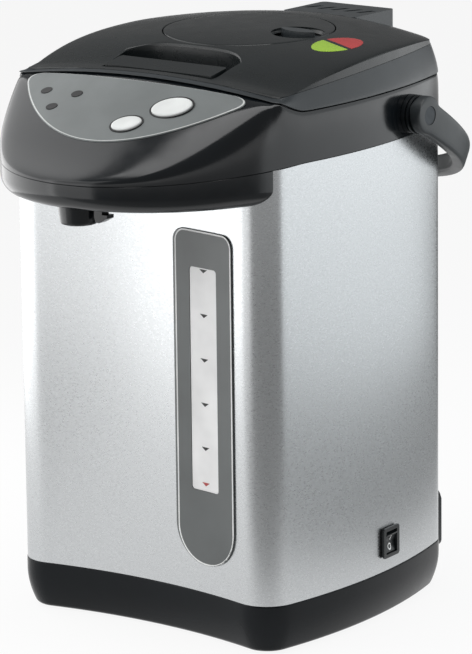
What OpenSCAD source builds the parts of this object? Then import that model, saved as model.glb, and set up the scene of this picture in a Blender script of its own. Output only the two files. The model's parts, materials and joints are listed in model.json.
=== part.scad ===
// Electric hot water urn of about 3.2 litres, millimetres, +Z up.
// The front, with the spout, faces -Y. The origin lies on the table, under the middle of the whole urn.

/* [Body] */
// Width between the virtual front corners
front_w = 180; // [172:1:188]
// Width between the virtual rear corners
rear_w = 166.5; // [160:0.5:172]
// Depth between the front and rear corners
body_d = 185; // [180:1:190]
// How deep the front face is dished
front_dish = 12.7; // [10:0.1:14]
// How far each side bows out
side_bow = 13; // [11:0.5:14]
// How far the back bows out
rear_bow = 7; // [5:0.5:8]
// Radius of the front corners
front_r = 19; // [16:0.5:21]
// Radius of the rear corners
rear_r = 21.5; // [18:0.5:24]
// Height of the base moulding, where the steel starts
base_top = 28.9; // [26:0.1:30]
// How far the bottom edge of the base is drawn in
base_inset = 6.1; // [4:0.1:7]
// Height of the top edge of the steel wrap
wrap_top = 277.2; // [276:0.1:277.4]

/* [Head] */
// How far the nose reaches in front of the body's centre
nose_reach = 157; // [154:0.5:160]
// Height of the seam under the sides of the head
seam_side_z = 277.7; // [277.5:0.1:278]
// Fall of the seam towards the nose, in mm per mm
seam_fall = 0.065; // [0.05:0.005:0.08]
// Height of the rim where the lid meets the sides
rim_z = 305.6; // [305:0.1:307]
// Height of the lid's front edge in the middle
lid_front_z = 319.2; // [318.5:0.1:320]
// Height of the control panel's slope where it starts
panel_z = 320.2; // [319:0.1:321]
// Slope of the control panel, in mm per mm
panel_fall = 0.651; // [0.63:0.005:0.67]
// Height of the underside of the spout cover
cover_z = 256.5; // [255:0.5:258]

/* [Lid] */
// Highest point of the lid's dome
dome_z = 335; // [334:0.1:337]
// Where along the lid the dome is highest
dome_peak_y = 59.4; // [50:0.2:64]
// Half width of the pump plate
plate_a = 51; // [49:0.5:52]
// Half depth of the pump plate
plate_b = 46; // [44:0.5:47]
// Travel of the pump plate
plate_travel = 16; // [12:1:16]
// Top of the steam vent box
vent_top = 332.6; // [331:0.1:334]
// How far the steam vent box reaches behind the body's centre
vent_reach = 125; // [120:1:128]

/* [Pot] */
// Inside radius of the inner pot
pot_r = 80; // [78:0.5:80]
// Height of the pot's inner floor
pot_floor = 56; // [54:1:60]

/* [Handle] */
// Height of the handle's pivots
pivot_z = 290; // [289:0.5:291]
// How far the pivots lie behind the body's centre
pivot_y = 41; // [39:0.5:43]
// Reach of the bail from its pivots to the outside of the grip
bail_reach = 105.5; // [104:0.5:108]
// Angle at which the bail hangs below level
bail_hang = 30.6; // [29:0.1:33]
// Half of the grip's height
grip_half = 5.5; // [5:0.1:7]

/* [Spout] */
// Outer radius of the nozzle at its mouth
nozzle_r = 10.5; // [9:0.1:11]
// Height of the nozzle's mouth
nozzle_z = 246; // [244:0.5:248]
// How far the nozzle lies in front of the body's centre
nozzle_y = 137; // [135:0.5:138]

/* [Hidden] */

// The origin is the middle of the footprint: half way between the nose and the back of the grip
bail_back = pivot_y + bail_reach * cos(bail_hang) + grip_half * sin(bail_hang);
shift_y = (nose_reach - bail_back) / 2;

black = "#23282a";
dark_plastic = "#2b3133";
panel_grey = "#6e7676";
steel = "#b9bdc0";
white_plastic = "#eef0ee";
silicone = "#d8d4c8";
copper = "#b87333";
board_green = "#2f6b45";
red_rubber = "#9c4434";
clear_tint = "#dfe9ee";

sheet = 0.8;
proud = 0.4;

// Vectors, arcs and curves

function unit(v) = v / norm(v);
function heading(v) = atan2(v.y, v.x);
function turn(a, b) = b - a > 180 ? b - a - 360 : b - a < -180 ? b - a + 360 : b - a;
function polar(r, a) = [r * cos(a), r * sin(a)];
function arc(c, r, a, b, n) = [for (i = [0:n]) c + polar(r, a + turn(a, b) * i / n)];
function tail(list) = [for (i = [1:len(list) - 1]) list[i]];
function inner(list) = [for (i = [1:len(list) - 2]) list[i]];
function bezier(p, q, r, s, t) =
    pow(1 - t, 3) * p + 3 * pow(1 - t, 2) * t * q + 3 * (1 - t) * t * t * r + t * t * t * s;
function mix(a, b, t) = a + (b - a) * t;
function oval(a, b, n, turned = 0) =
    [for (i = [0:n - 1]) let(t = 360 * i / n, x = a * cos(t), y = b * sin(t))
        [x * cos(turned) - y * sin(turned), x * sin(turned) + y * cos(turned)]];
// A superellipse's rise from 0 at its rim to 1 in its middle
function pillow(s, n) = pow(1 - pow(1 - s, n), 1 / n);

// Body plan: four bowed sides with rounded corners, drawn anticlockwise from the front left corner

// Circle through two corners with a given bow, as centre, radius and sense (1 bows out, -1 in)
function bow_circle(p, q, bow) =
    let(half = norm(q - p) / 2, s = abs(bow), r = (half * half + s * s) / (2 * s),
        out = unit([q.y - p.y, p.x - q.x]))
    [(p + q) / 2 - out * sign(bow) * (r - s), r, sign(bow)];
function meet(a, ra, b, rb, near) =
    let(d = norm(b - a), e = (b - a) / d, x = (d * d + ra * ra - rb * rb) / (2 * d),
        h = sqrt(ra * ra - x * x), n = [-e.y, e.x], p = a + x * e + h * n, q = a + x * e - h * n)
    norm(p - near) < norm(q - near) ? p : q;

corners = [[-front_w / 2, -body_d / 2], [front_w / 2, -body_d / 2],
    [rear_w / 2, body_d / 2], [-rear_w / 2, body_d / 2]];
corner_r = [front_r, front_r, rear_r, rear_r];
bows = [-front_dish, side_bow, rear_bow, side_bow];
edges = [for (k = [0:3]) bow_circle(corners[k], corners[(k + 1) % 4], bows[k])];
fillets = [for (k = [0:3]) let(p = edges[(k + 3) % 4], q = edges[k], r = corner_r[k])
    meet(p[0], p[1] - p[2] * r, q[0], q[1] - q[2] * r, corners[k])];
corner_n = 6;
edge_n = [14, 12, 10, 12];

function fillet_arc(k, inset, n = corner_n) =
    let(p = edges[(k + 3) % 4], q = edges[k], o = fillets[k])
    arc(o, corner_r[k] - inset, heading(p[2] * (o - p[0])), heading(q[2] * (o - q[0])), n);
function edge_arc(k, inset, n) =
    let(e = edges[k])
    arc(e[0], e[1] - e[2] * inset, heading(fillets[k] - e[0]), heading(fillets[(k + 1) % 4] - e[0]), n);
function body_outline(inset) =
    [for (k = [0:3]) each concat(fillet_arc(k, inset), inner(edge_arc(k, inset, edge_n[k])))];

// Height of the body's front face, as y against x
front_table = [for (i = [0:2 * corner_n + edge_n[0]]) body_outline(0)[i]];
function front_y(x) = lookup(x, front_table);

module body_prism(inset, z0, z1) {
    translate([0, 0, z0]) linear_extrude(z1 - z0) polygon(body_outline(inset));
}

module body_wall(outer, inner, z0, z1) {
    translate([0, 0, z0]) linear_extrude(z1 - z0) difference() {
        polygon(body_outline(outer));
        polygon(body_outline(inner));
    }
}

// Head plan: the body's sides and back, with a nose in front, drawn anticlockwise from the left join

join_y = -60;
nose_n = 14;
side_n = 8;
rear_n = 8;
right = edges[1];
join_a = asin((join_y - right[0].y) / right[1]);
nose_pull = 44.1;
nose_flat = 55.1;

function nose_at(t, inset) =
    let(d = inset - proud, start = right[0] + polar(right[1] - d, join_a), tip = [0, -nose_reach + inset])
    bezier(start, start + nose_pull * [sin(join_a), -cos(join_a)], tip + [nose_flat, 0], tip, t);
function flip(p) = [-p.x, p.y];
function head_ring(inset) =
    let(d = inset - proud, left = edges[3])
    concat(
        [for (i = [0:nose_n]) flip(nose_at(i / nose_n, inset))],
        [for (i = [nose_n - 1:-1:0]) nose_at(i / nose_n, inset)],
        tail(arc(right[0], right[1] - d, join_a, heading(fillets[2] - right[0]), side_n)),
        tail(fillet_arc(2, d, 5)),
        tail(edge_arc(2, d, rear_n)),
        tail(fillet_arc(3, d, 5)),
        inner(arc(left[0], left[1] - d, heading(fillets[3] - left[0]), 180 - join_a, side_n)));
ring_n = len(head_ring(0));

// Index of the lid's front corners on the head ring, counted from either join
lid_corner = 2;
function on_nose(i) = i > lid_corner && i < 2 * nose_n - lid_corner;
function at_corner(i) = i == lid_corner || i == 2 * nose_n - lid_corner;

lip = 1.6;
wall = 2.4;
front_bulge = 5.4;
corner_cut = [-3.4, 3.86];
// The side of the head at the lid's corners, and the corners themselves, cut back from it
shoulder = nose_at(lid_corner / nose_n, lip);
lid_corner_p = shoulder + corner_cut;
function bulged_y(x, corner) = corner.y - front_bulge * (1 - pow(x / corner.x, 2));
function lid_line_y(x) = bulged_y(x, lid_corner_p);

// Outline of the lid, following the head's sides and back, with a gently bulged front edge
function lid_ring(inset) =
    let(side = head_ring(inset), line = head_ring(lip), back = inset - lip,
        k0 = lid_corner_p.x / shoulder.x,
        k = (nose_at(lid_corner / nose_n, inset) + corner_cut).x / shoulder.x)
    [for (i = [0:ring_n - 1]) on_nose(i) || at_corner(i)
        ? [line[i].x * k, lid_line_y(line[i].x * k0) + back]
        : [side[i].x, max(side[i].y, lid_corner_p.y + back)]];

function seam_z(y) = y > join_y ? seam_side_z : seam_side_z + seam_fall * (y - join_y);

// Height of the joint between lid and housing, and of the crease between the lid's band and its dome
corner_drop = 7.2;
ramp_y = -57;
lid_ring0 = lid_ring(lip);
function gap_z(i) =
    let(p = lid_ring0[i])
    on_nose(i) ? lid_front_z - corner_drop * pow(p.x / lid_corner_p.x, 2)
        : p.y > ramp_y ? rim_z
        : rim_z + (lid_front_z - corner_drop - rim_z)
            * pow((ramp_y - p.y) / (ramp_y - lid_corner_p.y), 1.6);
crease_top = 322.8;
crease_y = 85;
function crease_z(i) =
    let(p = lid_ring0[i])
    on_nose(i) ? gap_z(i) + 1.6 + 0.5 * pow(p.x / lid_corner_p.x, 2)
        : crease_top - 0.00034 * pow(max(0, crease_y - p.y), 2);

// The higher or the lower of two heights, with a smooth change from one to the other
function soft_max(a, b, r) = (a + b + norm([a - b, r])) / 2;
function soft_min(a, b, r) = (a + b - norm([a - b, r])) / 2;

// Height of the dome over any point of the lid: level in front, then a long swell towards the rear
crown_front = lid_front_z + 1.3;
crown_fall = 23.2;
crown_side = 5.35;
crown_rear = 4;
function crown(p) =
    let(ahead = max(0, dome_peak_y - p.y), behind = max(0, p.y - dome_peak_y),
        span = dome_peak_y - lid_line_y(0), across = pow(p.x / 88, 2))
    soft_max(dome_z - crown_fall * pow(ahead / span, 3.4) - 0.0023 * behind * behind, crown_front, 1.5)
        - across * (crown_side + crown_rear * pow(max(0, p.y - 20) / 60, 2));

// Height of the sloped top of the nose over any point, before its edge is rounded
function slope_z(p) =
    let(d = bulged_y(p.x, shoulder) - p.y, side = pow(p.x / shoulder.x, 2),
        edge = lid_front_z - corner_drop * pow(p.x / lid_corner_p.x, 2))
    soft_min(edge, panel_z - max(2, corner_drop - 0.08 * max(0, d)) * side
        - panel_fall * d + 0.005 * pow(max(0, d - 45), 2), 1);
nose_table = [for (i = [0:2 * nose_n]) head_ring(0)[i]];
edge_power = 4;
// Height of the finished surface of the nose
function nose_z(p) =
    let(rim_y = lookup(p.x, nose_table), s = (p.y - rim_y) / (lid_line_y(p.x) - rim_y),
        base = seam_z(rim_y))
    base + (slope_z(p) - base) * pillow(min(1, max(0, s)), edge_power);

function lift(points, z) = [for (p = points) [p.x, p.y, z]];

// A skin over rings of points, each ring above or inside the one before it, closed by fans
module skin(rings, bottom, top) {
    n = len(rings[0]);
    m = len(rings);
    points = concat([bottom], [for (r = rings) each r], [top]);
    function at(k, i) = 1 + k * n + i % n;
    polyhedron(points, concat(
        [for (i = [0:n - 1]) [0, at(0, i), at(0, i + 1)]],
        [for (k = [0:m - 2], i = [0:n - 1]) each [[at(k, i), at(k + 1, i + 1), at(k, i + 1)],
            [at(k, i), at(k + 1, i), at(k + 1, i + 1)]]],
        [for (i = [0:n - 1]) [m * n + 1, at(m - 1, i + 1), at(m - 1, i)]]), convexity = 6);
}

// A skin over rings that close on themselves, like a tyre
module loop_skin(rings) {
    n = len(rings[0]);
    m = len(rings);
    function at(k, i) = (k % m) * n + i % n;
    polyhedron([for (r = rings) each r],
        [for (k = [0:m - 1], i = [0:n - 1]) each [[at(k, i), at(k + 1, i + 1), at(k, i + 1)],
            [at(k, i), at(k + 1, i), at(k + 1, i + 1)]]], convexity = 6);
}

module along_x(r, x0, x1, fn = 48) {
    translate([x0, 0, 0]) rotate([0, 90, 0]) cylinder(h = x1 - x0, r = r, $fn = fn);
}

module ring(r_in, r_out, z0, z1, fn = 96) {
    translate([0, 0, z0]) difference() {
        cylinder(h = z1 - z0, r = r_out, $fn = fn);
        translate([0, 0, -1]) cylinder(h = z1 - z0 + 2, r = r_in, $fn = fn);
    }
}

module block(x0, x1, y0, y1, z0, z1) {
    translate([x0, y0, z0]) cube([x1 - x0, y1 - y0, z1 - z0]);
}

module rounded_plate(w, h, r, t) {
    linear_extrude(t) offset(r = r, $fn = 40) square([w - 2 * r, h - 2 * r], center = true);
}

// Base

base_wall = 2.8;
base_under = 1.2;
tray_floor = 7;
foot_spots = [[-62, -58], [62, -58], [-56, 66], [56, 66]];

function base_inset_at(z) = base_inset * pow(max(0, 1 - z / 22), 2) - 0.3;

module base_moulding() {
    heights = [base_under + 0.8, 3.5, 6, 9, 13, 18, 24, base_top];
    color(black) difference() {
        skin(concat(
            [lift(body_outline(12), 4.5), lift(body_outline(12), base_under),
                lift(body_outline(base_inset + 0.8), base_under)],
            [for (z = heights) lift(body_outline(base_inset_at(z)), z)],
            [lift(body_outline(1.1), base_top), lift(body_outline(1.1), base_top + 4),
                lift(body_outline(base_wall), base_top + 4), lift(body_outline(base_wall), 14),
                lift(body_outline(9.5), tray_floor)]),
            [0, 0, 4.5], [0, 0, tray_floor]);
        inlet_cut();
        for (p = foot_spots) translate([p.x, p.y, 0]) cylinder(h = 20, r = 1.3, $fn = 24);
    }
}

module bottom_cover() {
    color(dark_plastic) difference() {
        body_prism(12.4, 2, 4.3);
        for (p = foot_spots) translate([p.x * 0.78, p.y * 0.78, 0]) cylinder(h = 3, r = 1.2, $fn = 24);
        for (p = foot_spots) translate([p.x, p.y, 0]) cylinder(h = 20, r = 1.8, $fn = 24);
        for (x = [-24:8:24]) translate([x, 18, 0]) rounded_slot(3, 26);
    }
}

module rounded_slot(w, l) {
    linear_extrude(8) polygon(concat(arc([0, (l - w) / 2], w / 2, 0, 179.9, 8),
        arc([0, (w - l) / 2], w / 2, 180, 359.9, 8)));
}

module rubber_feet() {
    color("#1b1b1b") for (p = foot_spots) translate([p.x * 0.78, p.y * 0.78, 0]) {
        cylinder(h = 1.98, r1 = 8, r2 = 8.6, $fn = 48);
        cylinder(h = 2.9, r = 1.15, $fn = 24);
    }
}

module base_screws() {
    color(steel) for (p = foot_spots) translate([p.x, p.y, 0]) {
        cylinder(h = 6.9, r = 1.25, $fn = 24);
        translate([0, 0, 0.9]) cylinder(h = 1.05, r = 3.2, $fn = 32);
    }
}

// Steel wrap and what is let into it

gauge_x = 43;
gauge_z0 = 45.3;
gauge_z1 = 237.4;
window_z0 = 88.5;
window_z1 = 216.5;
window_w = 21;

module gauge_shape(grow = 0) {
    offset(delta = grow) union() {
        translate([gauge_x, 0]) hull() {
            for (s = [-1, 1]) translate([s * 15.3, gauge_z1 - 7.5]) circle(7.5, $fn = 40);
            translate([0, gauge_z0 + 90]) square([45.6, 1], center = true);
        }
        translate([gauge_x, 0]) hull() {
            translate([0, gauge_z0 + 90]) square([45.6, 1], center = true);
            translate([0, gauge_z0 + 22.8]) circle(22.8, $fn = 72);
        }
    }
}

module window_shape(grow = 0) {
    translate([gauge_x, (window_z0 + window_z1) / 2])
        offset(r = 2 + grow, $fn = 24) square([window_w - 4, window_z1 - window_z0 - 4], center = true);
}

// Turns a shape drawn in x and z into a prism that runs through the front of the body
module through_front() {
    translate([0, -40, 0]) rotate([90, 0, 0]) linear_extrude(100) children();
}

// A layer that follows the front face, from one distance outside the steel to another
module front_layer(from, to) {
    n = len(front_table);
    outer = [for (p = front_table) [p.x, p.y - to]];
    back = [for (i = [n - 1:-1:0]) [front_table[i].x, front_table[i].y - from]];
    linear_extrude(270) polygon(concat(outer, back));
}

switch_y = 15.3;
switch_z = 45.8;
switch_a = 4.7;
switch_x = 99.1;
switch_w = 17;
switch_h = 17.6;
switch_in = [7.2, 7.7];

module at_switch() {
    translate([switch_x, switch_y, switch_z]) rotate([0, 0, switch_a]) children();
}

inlet_x = 62;
inlet_z = 38;

module inlet_cut() {
    block(inlet_x - 12.5, inlet_x + 12.5, 60, 110, inlet_z - 12.5, inlet_z + 12.5);
}

hose_notch_z = 261;

module steel_wrap() {
    color(steel) difference() {
        body_wall(0, sheet, base_top + 0.05, wrap_top);
        through_front() window_shape(-1);
        at_switch() block(-20, 20, -switch_in.x - 0.2, switch_in.x + 0.2, -switch_in.y - 0.2, switch_in.y + 0.2);
        inlet_cut();
        block(22, 46, -100, -60, hose_notch_z, 300);
        // The top edge falls with the seam in front
        translate([0, join_y, seam_side_z - 0.5]) rotate([atan(seam_fall), 0, 0]) block(-110, 110, -60, 0, 0, 20);
    }
}

module inner_frame() {
    bore = [for (p = body_outline(4)) [0, pot_y] + (pot_r + 1.3) * unit(p - [0, pot_y])];
    color(dark_plastic) difference() {
        loop_skin([lift(body_outline(1), 266), lift(body_outline(1), wrap_top - 0.3),
            lift(body_outline(2.5), wrap_top - 0.3), lift(body_outline(2.5), 293), lift(bore, 293),
            lift(bore, 291), lift(body_outline(4.3), 291), lift(body_outline(4.3), 266)]);
        block(20, 48, -100, -60, 260, 281);
        for (s = [-1, 1]) block(s > 0 ? 86 : -100, s > 0 ? 100 : -86, pivot_y - 8, pivot_y + 8, 281, 300);
    }
}

module gauge_panel() {
    color(panel_grey) difference() {
        intersection() {
            front_layer(0.05, 1.1);
            through_front() gauge_shape();
        }
        through_front() window_shape(0);
    }
}

module gauge_window() {
    color(white_plastic) {
        intersection() {
            front_layer(-0.7, 0.8);
            through_front() window_shape(-1.2);
        }
        intersection() {
            front_layer(0.08, 0.8);
            through_front() window_shape(-0.1);
        }
    }
}

// Inner pot, heaters and pump

pot_y = 12;
pot_sheet = 0.8;
pot_corner = 3;
flange_z = 293.1;
port = [-24, -50];
port_r = 4;

module at_pot() {
    translate([0, pot_y, 0]) children();
}

module inner_pot() {
    color("#c9ccce") difference() {
        at_pot() rotate_extrude($fn = 120) {
            translate([0, pot_floor - pot_sheet]) square([pot_r - pot_corner, pot_sheet]);
            translate([pot_r - pot_corner, pot_floor + pot_corner]) intersection() {
                difference() {
                    circle(pot_corner + pot_sheet, $fn = 64);
                    circle(pot_corner, $fn = 64);
                }
                translate([0, -20]) square(20);
            }
            translate([pot_r, pot_floor + pot_corner])
                square([pot_sheet, flange_z - pot_floor - pot_corner + 0.1]);
            translate([pot_r, flange_z]) square([5.6, pot_sheet]);
        }
        translate([port.x, port.y, pot_floor - 5]) cylinder(h = 10, r = port_r, $fn = 48);
    }
}

module pot_gasket() {
    color(silicone) at_pot() ring(pot_r - 0.4, pot_r + 5.2, flange_z + pot_sheet + 0.05, 296.95, 120);
}

module boil_heater() {
    z = pot_floor - pot_sheet;
    color("#9a9da0") at_pot() {
        translate([0, 0, z - 4.05]) cylinder(h = 4, r = 56, $fn = 96);
        translate([0, 0, z - 6.6]) rotate_extrude(angle = 300, $fn = 96)
            translate([44, 0]) circle(3.2, $fn = 32);
    }
}

module keep_warm_band() {
    color("#8f8a7c") at_pot() difference() {
        union() {
            ring(pot_r + pot_sheet + 0.05, pot_r + 2.4, 70, 96, 120);
            block(-5, 5, pot_r + 2, pot_r + 5.5, 72, 94);
        }
        block(-1, 1, pot_r - 3, pot_r + 7, 60, 100);
    }
}

module thermostat() {
    color("#d9d2c0") translate([16, pot_y + 10, pot_floor - pot_sheet - 4.1]) mirror([0, 0, 1]) {
        cylinder(h = 5, r = 9.5, $fn = 48);
        cylinder(h = 9, r = 7.5, $fn = 48);
        for (s = [-1, 1]) translate([s * 5 - 0.4, -3, 8.9]) cube([0.8, 6, 6]);
    }
}

module dry_boil_cutout() {
    color("#4a4d50") translate([-16, pot_y + 10, pot_floor - pot_sheet - 4.1]) mirror([0, 0, 1]) {
        cylinder(h = 7, r = 8, $fn = 48);
        translate([0, 0, 6.9]) cylinder(h = 4, r = 2, $fn = 32);
    }
}

module thermal_fuse() {
    color("#e4ddc9") translate([0, pot_y - 18, pot_floor - pot_sheet - 4.15 - 2.6])
        along_x(2.5, -9, 9, 32);
}

pump_z = 30;
motor_r = 15;
volute_r = 22;
hose_y = port.y - 15;

module pump_housing() {
    color(white_plastic) difference() {
        union() {
            translate([port.x, port.y, 23]) cylinder(h = 14, r = volute_r, $fn = 72);
            translate([port.x, port.y, 36.9]) cylinder(h = 5.1, r = 4, $fn = 48);
            translate([0, hose_y, pump_z]) along_x(4, port.x, 8);
        }
        translate([port.x, port.y, 25.5]) cylinder(h = 9, r = 19.5, $fn = 72);
        translate([port.x, port.y, 22]) cylinder(h = 6, r = 2.05, $fn = 32);
        translate([port.x, port.y, 30]) cylinder(h = 20, r = 2.6, $fn = 48);
        translate([0, hose_y, pump_z]) along_x(2.6, port.x, 9);
    }
}

module pump_motor() {
    color("#a5a8aa") difference() {
        translate([port.x, port.y, tray_floor + 0.05]) union() {
            cylinder(h = 15.9, r = motor_r, $fn = 64);
            for (a = [0:90:270]) rotate(a) translate([motor_r - 1, -3, 0]) cube([5, 6, 2]);
        }
        translate([port.x, port.y, 12]) cylinder(h = 20, r = 2.05, $fn = 32);
    }
}

module pump_rotor() {
    color(copper) translate([port.x, port.y, 0]) {
        translate([0, 0, 12.2]) cylinder(h = 14.2, r = 2, $fn = 32);
        translate([0, 0, 26]) cylinder(h = 1.6, r = 17.5, $fn = 64);
        for (a = [0:60:300]) rotate(a) translate([3.4, -0.8, 27.5]) cube([13.6, 1.6, 4.8]);
    }
}

hose_in = 4.05;
hose_out = 5.6;

// A hose's quarter bend in the plane of x and z, from running along +x to running up
module bend_up(radius) {
    translate([0, 0, radius]) rotate([90, 0, 0]) rotate([0, 0, -90]) rotate_extrude(angle = 90, $fn = 96)
        translate([radius, 0]) difference() {
            circle(hose_out, $fn = 48);
            circle(hose_in, $fn = 48);
        }
}

module inlet_hose() {
    color(silicone) translate([port.x, port.y, 0]) ring(hose_in, hose_out, 37.1, 51.4, 48);
    color(silicone) translate([port.x, port.y, 0]) difference() {
        translate([0, 0, 51.4]) cylinder(h = pot_floor - pot_sheet - 51.45, r = 7.5, $fn = 48);
        translate([0, 0, 50]) cylinder(h = 10, r = hose_in, $fn = 48);
    }
}

riser = [43, -66];
riser_z0 = 48;
riser_z1 = 254;
bend_r = 13;

module delivery_hose() {
    color(silicone) translate([0, hose_y, pump_z]) {
        difference() {
            along_x(hose_out, 2, riser.x - bend_r);
            along_x(hose_in, 1, riser.x - bend_r + 1);
        }
        translate([riser.x - bend_r, 0, 0]) bend_up(bend_r);
        translate([riser.x, 0, 0]) ring(hose_in, hose_out, bend_r, 26, 48);
    }
}

module gauge_tube() {
    color(clear_tint) translate([riser.x, hose_y, 0]) ring(2.8, 4, riser_z0, riser_z1, 48);
}

outlet_z = 268;
outlet_dir = [0 - riser.x, -nozzle_y - hose_y];
outlet_a = heading(outlet_dir);
outlet_run = norm(outlet_dir);

module outlet_hose() {
    color(silicone) translate([riser.x, hose_y, 0]) rotate(outlet_a) {
        ring(hose_in, hose_out, 246, outlet_z - bend_r, 48);
        translate([bend_r, 0, outlet_z]) mirror([0, 0, 1]) rotate([0, 0, 180]) bend_up(bend_r);
        translate([0, 0, outlet_z]) difference() {
            along_x(hose_out, bend_r, outlet_run - 9);
            along_x(hose_in, bend_r - 1, outlet_run - 8);
        }
    }
}

// Head

deck_top = 300;
deck_under = 297;
mouth_r = 79;

module top_housing() {
    outer = head_ring(0);
    top = lid_ring(lip);
    inner_side = head_ring(wall);
    mouth = [for (p = top) [0, pot_y] + mouth_r * unit(p - [0, pot_y])];
    // The wall under the lid's front edge, and the side wall elsewhere
    back = [for (i = [0:ring_n - 1]) on_nose(i) ? top[i] + wall * unit(outer[i] - top[i]) : inner_side[i]];
    rise = [0.012, 0.04, 0.1, 0.2, 0.35, 0.6, 1];
    fall = [0, 0.4, 0.65, 0.8, 0.9, 0.96, 1];
    function outer_z(i, p, s) =
        let(base = seam_z(outer[i].y))
        base + ((on_nose(i) ? slope_z(p) : gap_z(i)) - base) * pillow(s, edge_power);
    function inner_z(i, p, s) =
        let(base = seam_z(outer[i].y), high = on_nose(i) ? slope_z(p) - 1.25 * wall : deck_under - 1)
        base + (high - base) * pillow(1 - s, edge_power);
    color(black) difference() {
        loop_skin(concat(
            [[for (i = [0:ring_n - 1]) [outer[i].x, outer[i].y, seam_z(outer[i].y)]]],
            [for (s = rise) [for (i = [0:ring_n - 1]) let(p = mix(outer[i], top[i], s))
                [p.x, p.y, outer_z(i, p, s)]]],
            [lift(top, deck_top), lift(mouth, deck_top), lift(mouth, deck_under), lift(back, deck_under)],
            [for (s = fall) [for (i = [0:ring_n - 1]) let(p = mix(back[i], inner_side[i], s))
                [p.x, p.y, inner_z(i, p, s)]]]));
        panel_window();
        for (s = [-1, 1]) translate([0, pivot_y, pivot_z]) along_x(4.02, s > 0 ? 85 : -105, s > 0 ? 105 : -85);
    }
}

// Opening under the control panel, a smaller copy of its outline
module panel_window() {
    translate([0, 0, 270]) linear_extrude(80) polygon(panel_outline(4));
}

cover_t0 = 0.17;
cover_r = 9;
cover_gap = 0.25;
cover_n = 12;

// Outline of the spout cover: the nose, drawn in, then back along the front of the body
function cover_ring(inset, thick) =
    let(n = cover_n, t0 = cover_t0 + 0.0095 * inset + 0.012 * thick,
        half = [for (i = [0:n]) nose_at(mix(t0, 1, i / n), inset)], x = half[0].x)
    concat([for (p = half) flip(p)], [for (i = [n - 1:-1:0]) half[i]],
        [for (i = [0:16]) let(u = x * cos(180 * i / 16)) [u, front_y(u) - 0.5 - thick]]);

module spout_cover() {
    function seam_ring(inset, thick) =
        [for (p = cover_ring(inset, thick)) [p.x, p.y, seam_z(p.y) - cover_gap]];
    function bowl(inset, z0, r, thick) =
        [for (a = [0:18:90]) lift(cover_ring(inset + r * (1 - sin(a)), thick), z0 + r * (1 - cos(a)))];
    inside = bowl(wall, cover_z + wall, cover_r - wall, 2.2);
    color(black) difference() {
        skin(concat(bowl(0, cover_z, cover_r, 0), [seam_ring(0, 0), seam_ring(wall, 2.2)],
            [for (i = [len(inside) - 1:-1:0]) inside[i]]),
            [0, -120, cover_z], [0, -120, cover_z + wall]);
        translate([0, -nozzle_y, 240]) cylinder(h = 30, r = 11.9, $fn = 72);
        translate([riser.x, hose_y, outlet_z]) rotate(outlet_a) along_x(6.4, 5, 40);
    }
}

module spout_nozzle() {
    top = 278;
    color(black) translate([0, -nozzle_y, 0]) difference() {
        union() {
            rotate_extrude($fn = 96) polygon([[0, nozzle_z], [nozzle_r - 1.4, nozzle_z],
                [nozzle_r - 0.4, nozzle_z + 0.4], [nozzle_r, nozzle_z + 1.4], [11.6, cover_z + 0.2],
                [11.6, cover_z + wall + 0.1], [12.1, cover_z + wall + 0.1], [13.4, cover_z + wall + 1.6],
                [13.4, cover_z + wall + 3], [8, cover_z + wall + 3], [8, top], [0, top]]);
            translate([0, 0, outlet_z]) rotate(outlet_a + 180) along_x(4, 5, 24);
        }
        translate([0, 0, nozzle_z - 1]) cylinder(h = 4, r1 = 9.2, r2 = 8.2, $fn = 72);
        translate([0, 0, nozzle_z]) cylinder(h = 29, r = 6, $fn = 72);
        translate([0, 0, outlet_z]) rotate(outlet_a + 180) along_x(2.6, 0, 25);
    }
}

module nozzle_clip() {
    color(black) translate([13.2, -nozzle_y - 3, 0]) {
        block(0, 5.5, 0, 6, cover_z - 5.2, cover_z - 0.05);
        block(0, 9, 0, 6, cover_z - 5.2, cover_z - 3.4);
        translate([0, 0, cover_z - 5.2]) rotate([-90, 0, 0]) linear_extrude(6)
            polygon([[0, 0], [9, 0], [3.5, 3], [1, 3]]);
    }
}

// Control panel

panel_back = -87.9;
panel_tip = [74.5, -90.5];
panel_front = -129;

function panel_half(n) = concat(
    [for (i = [0:n - 1]) bezier([0, panel_front], [36, panel_front], [64, -103], panel_tip, i / n)],
    [for (i = [0:5]) bezier(panel_tip, [78.5, -86], [76.5, -83.2], [69, -83], i / 6)],
    [for (i = [0:5]) let(x = 69 * (1 - i / 6)) [x, panel_back + 4.9 * pow(x / 69, 2)]]);
function panel_outline(inset) =
    let(half = panel_half(12), c = [0, -104], all = concat(
        half, [[0, panel_back]], [for (i = [len(half) - 1:-1:1]) flip(half[i])]))
    [for (p = all) c + (p - c) * (1 - inset / 34)];

module control_panel() {
    under = 0.12;
    over = 0.9;
    sizes = [1, 0.7, 0.35];
    function layer(k, up, inset = 0) =
        [for (p = panel_outline(inset)) let(q = [0, -104] + (p - [0, -104]) * k) [q.x, q.y, nose_z(q) + up]];
    color(panel_grey) difference() {
        skin(concat([for (i = [len(sizes) - 1:-1:0]) layer(sizes[i], under)],
            [layer(1, over - 0.3)], [for (k = sizes) layer(k, over, k == 1 ? 0.3 : 0)]),
            [0, -104, nose_z([0, -104]) + under], [0, -104, nose_z([0, -104]) + over]);
        at_button(dispense_p) linear_extrude(30, center = true) polygon(oval(12.35, 7.65, 40, button_turn));
        at_button(reboil_p) linear_extrude(30, center = true) polygon(oval(9.35, 5.85, 40, button_turn));
        for (p = lens_spots) at_button(p) linear_extrude(30, center = true) polygon(oval(3.8, 2.6, 24, 12));
    }
}

panel_angle = atan(panel_fall);
button_turn = 20;
dispense_p = [37.5, -100.5];
reboil_p = [17.5, -115.5];
lens_spots = [[-54, -97.5], [-30, -100], [-41, -109]];

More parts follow.
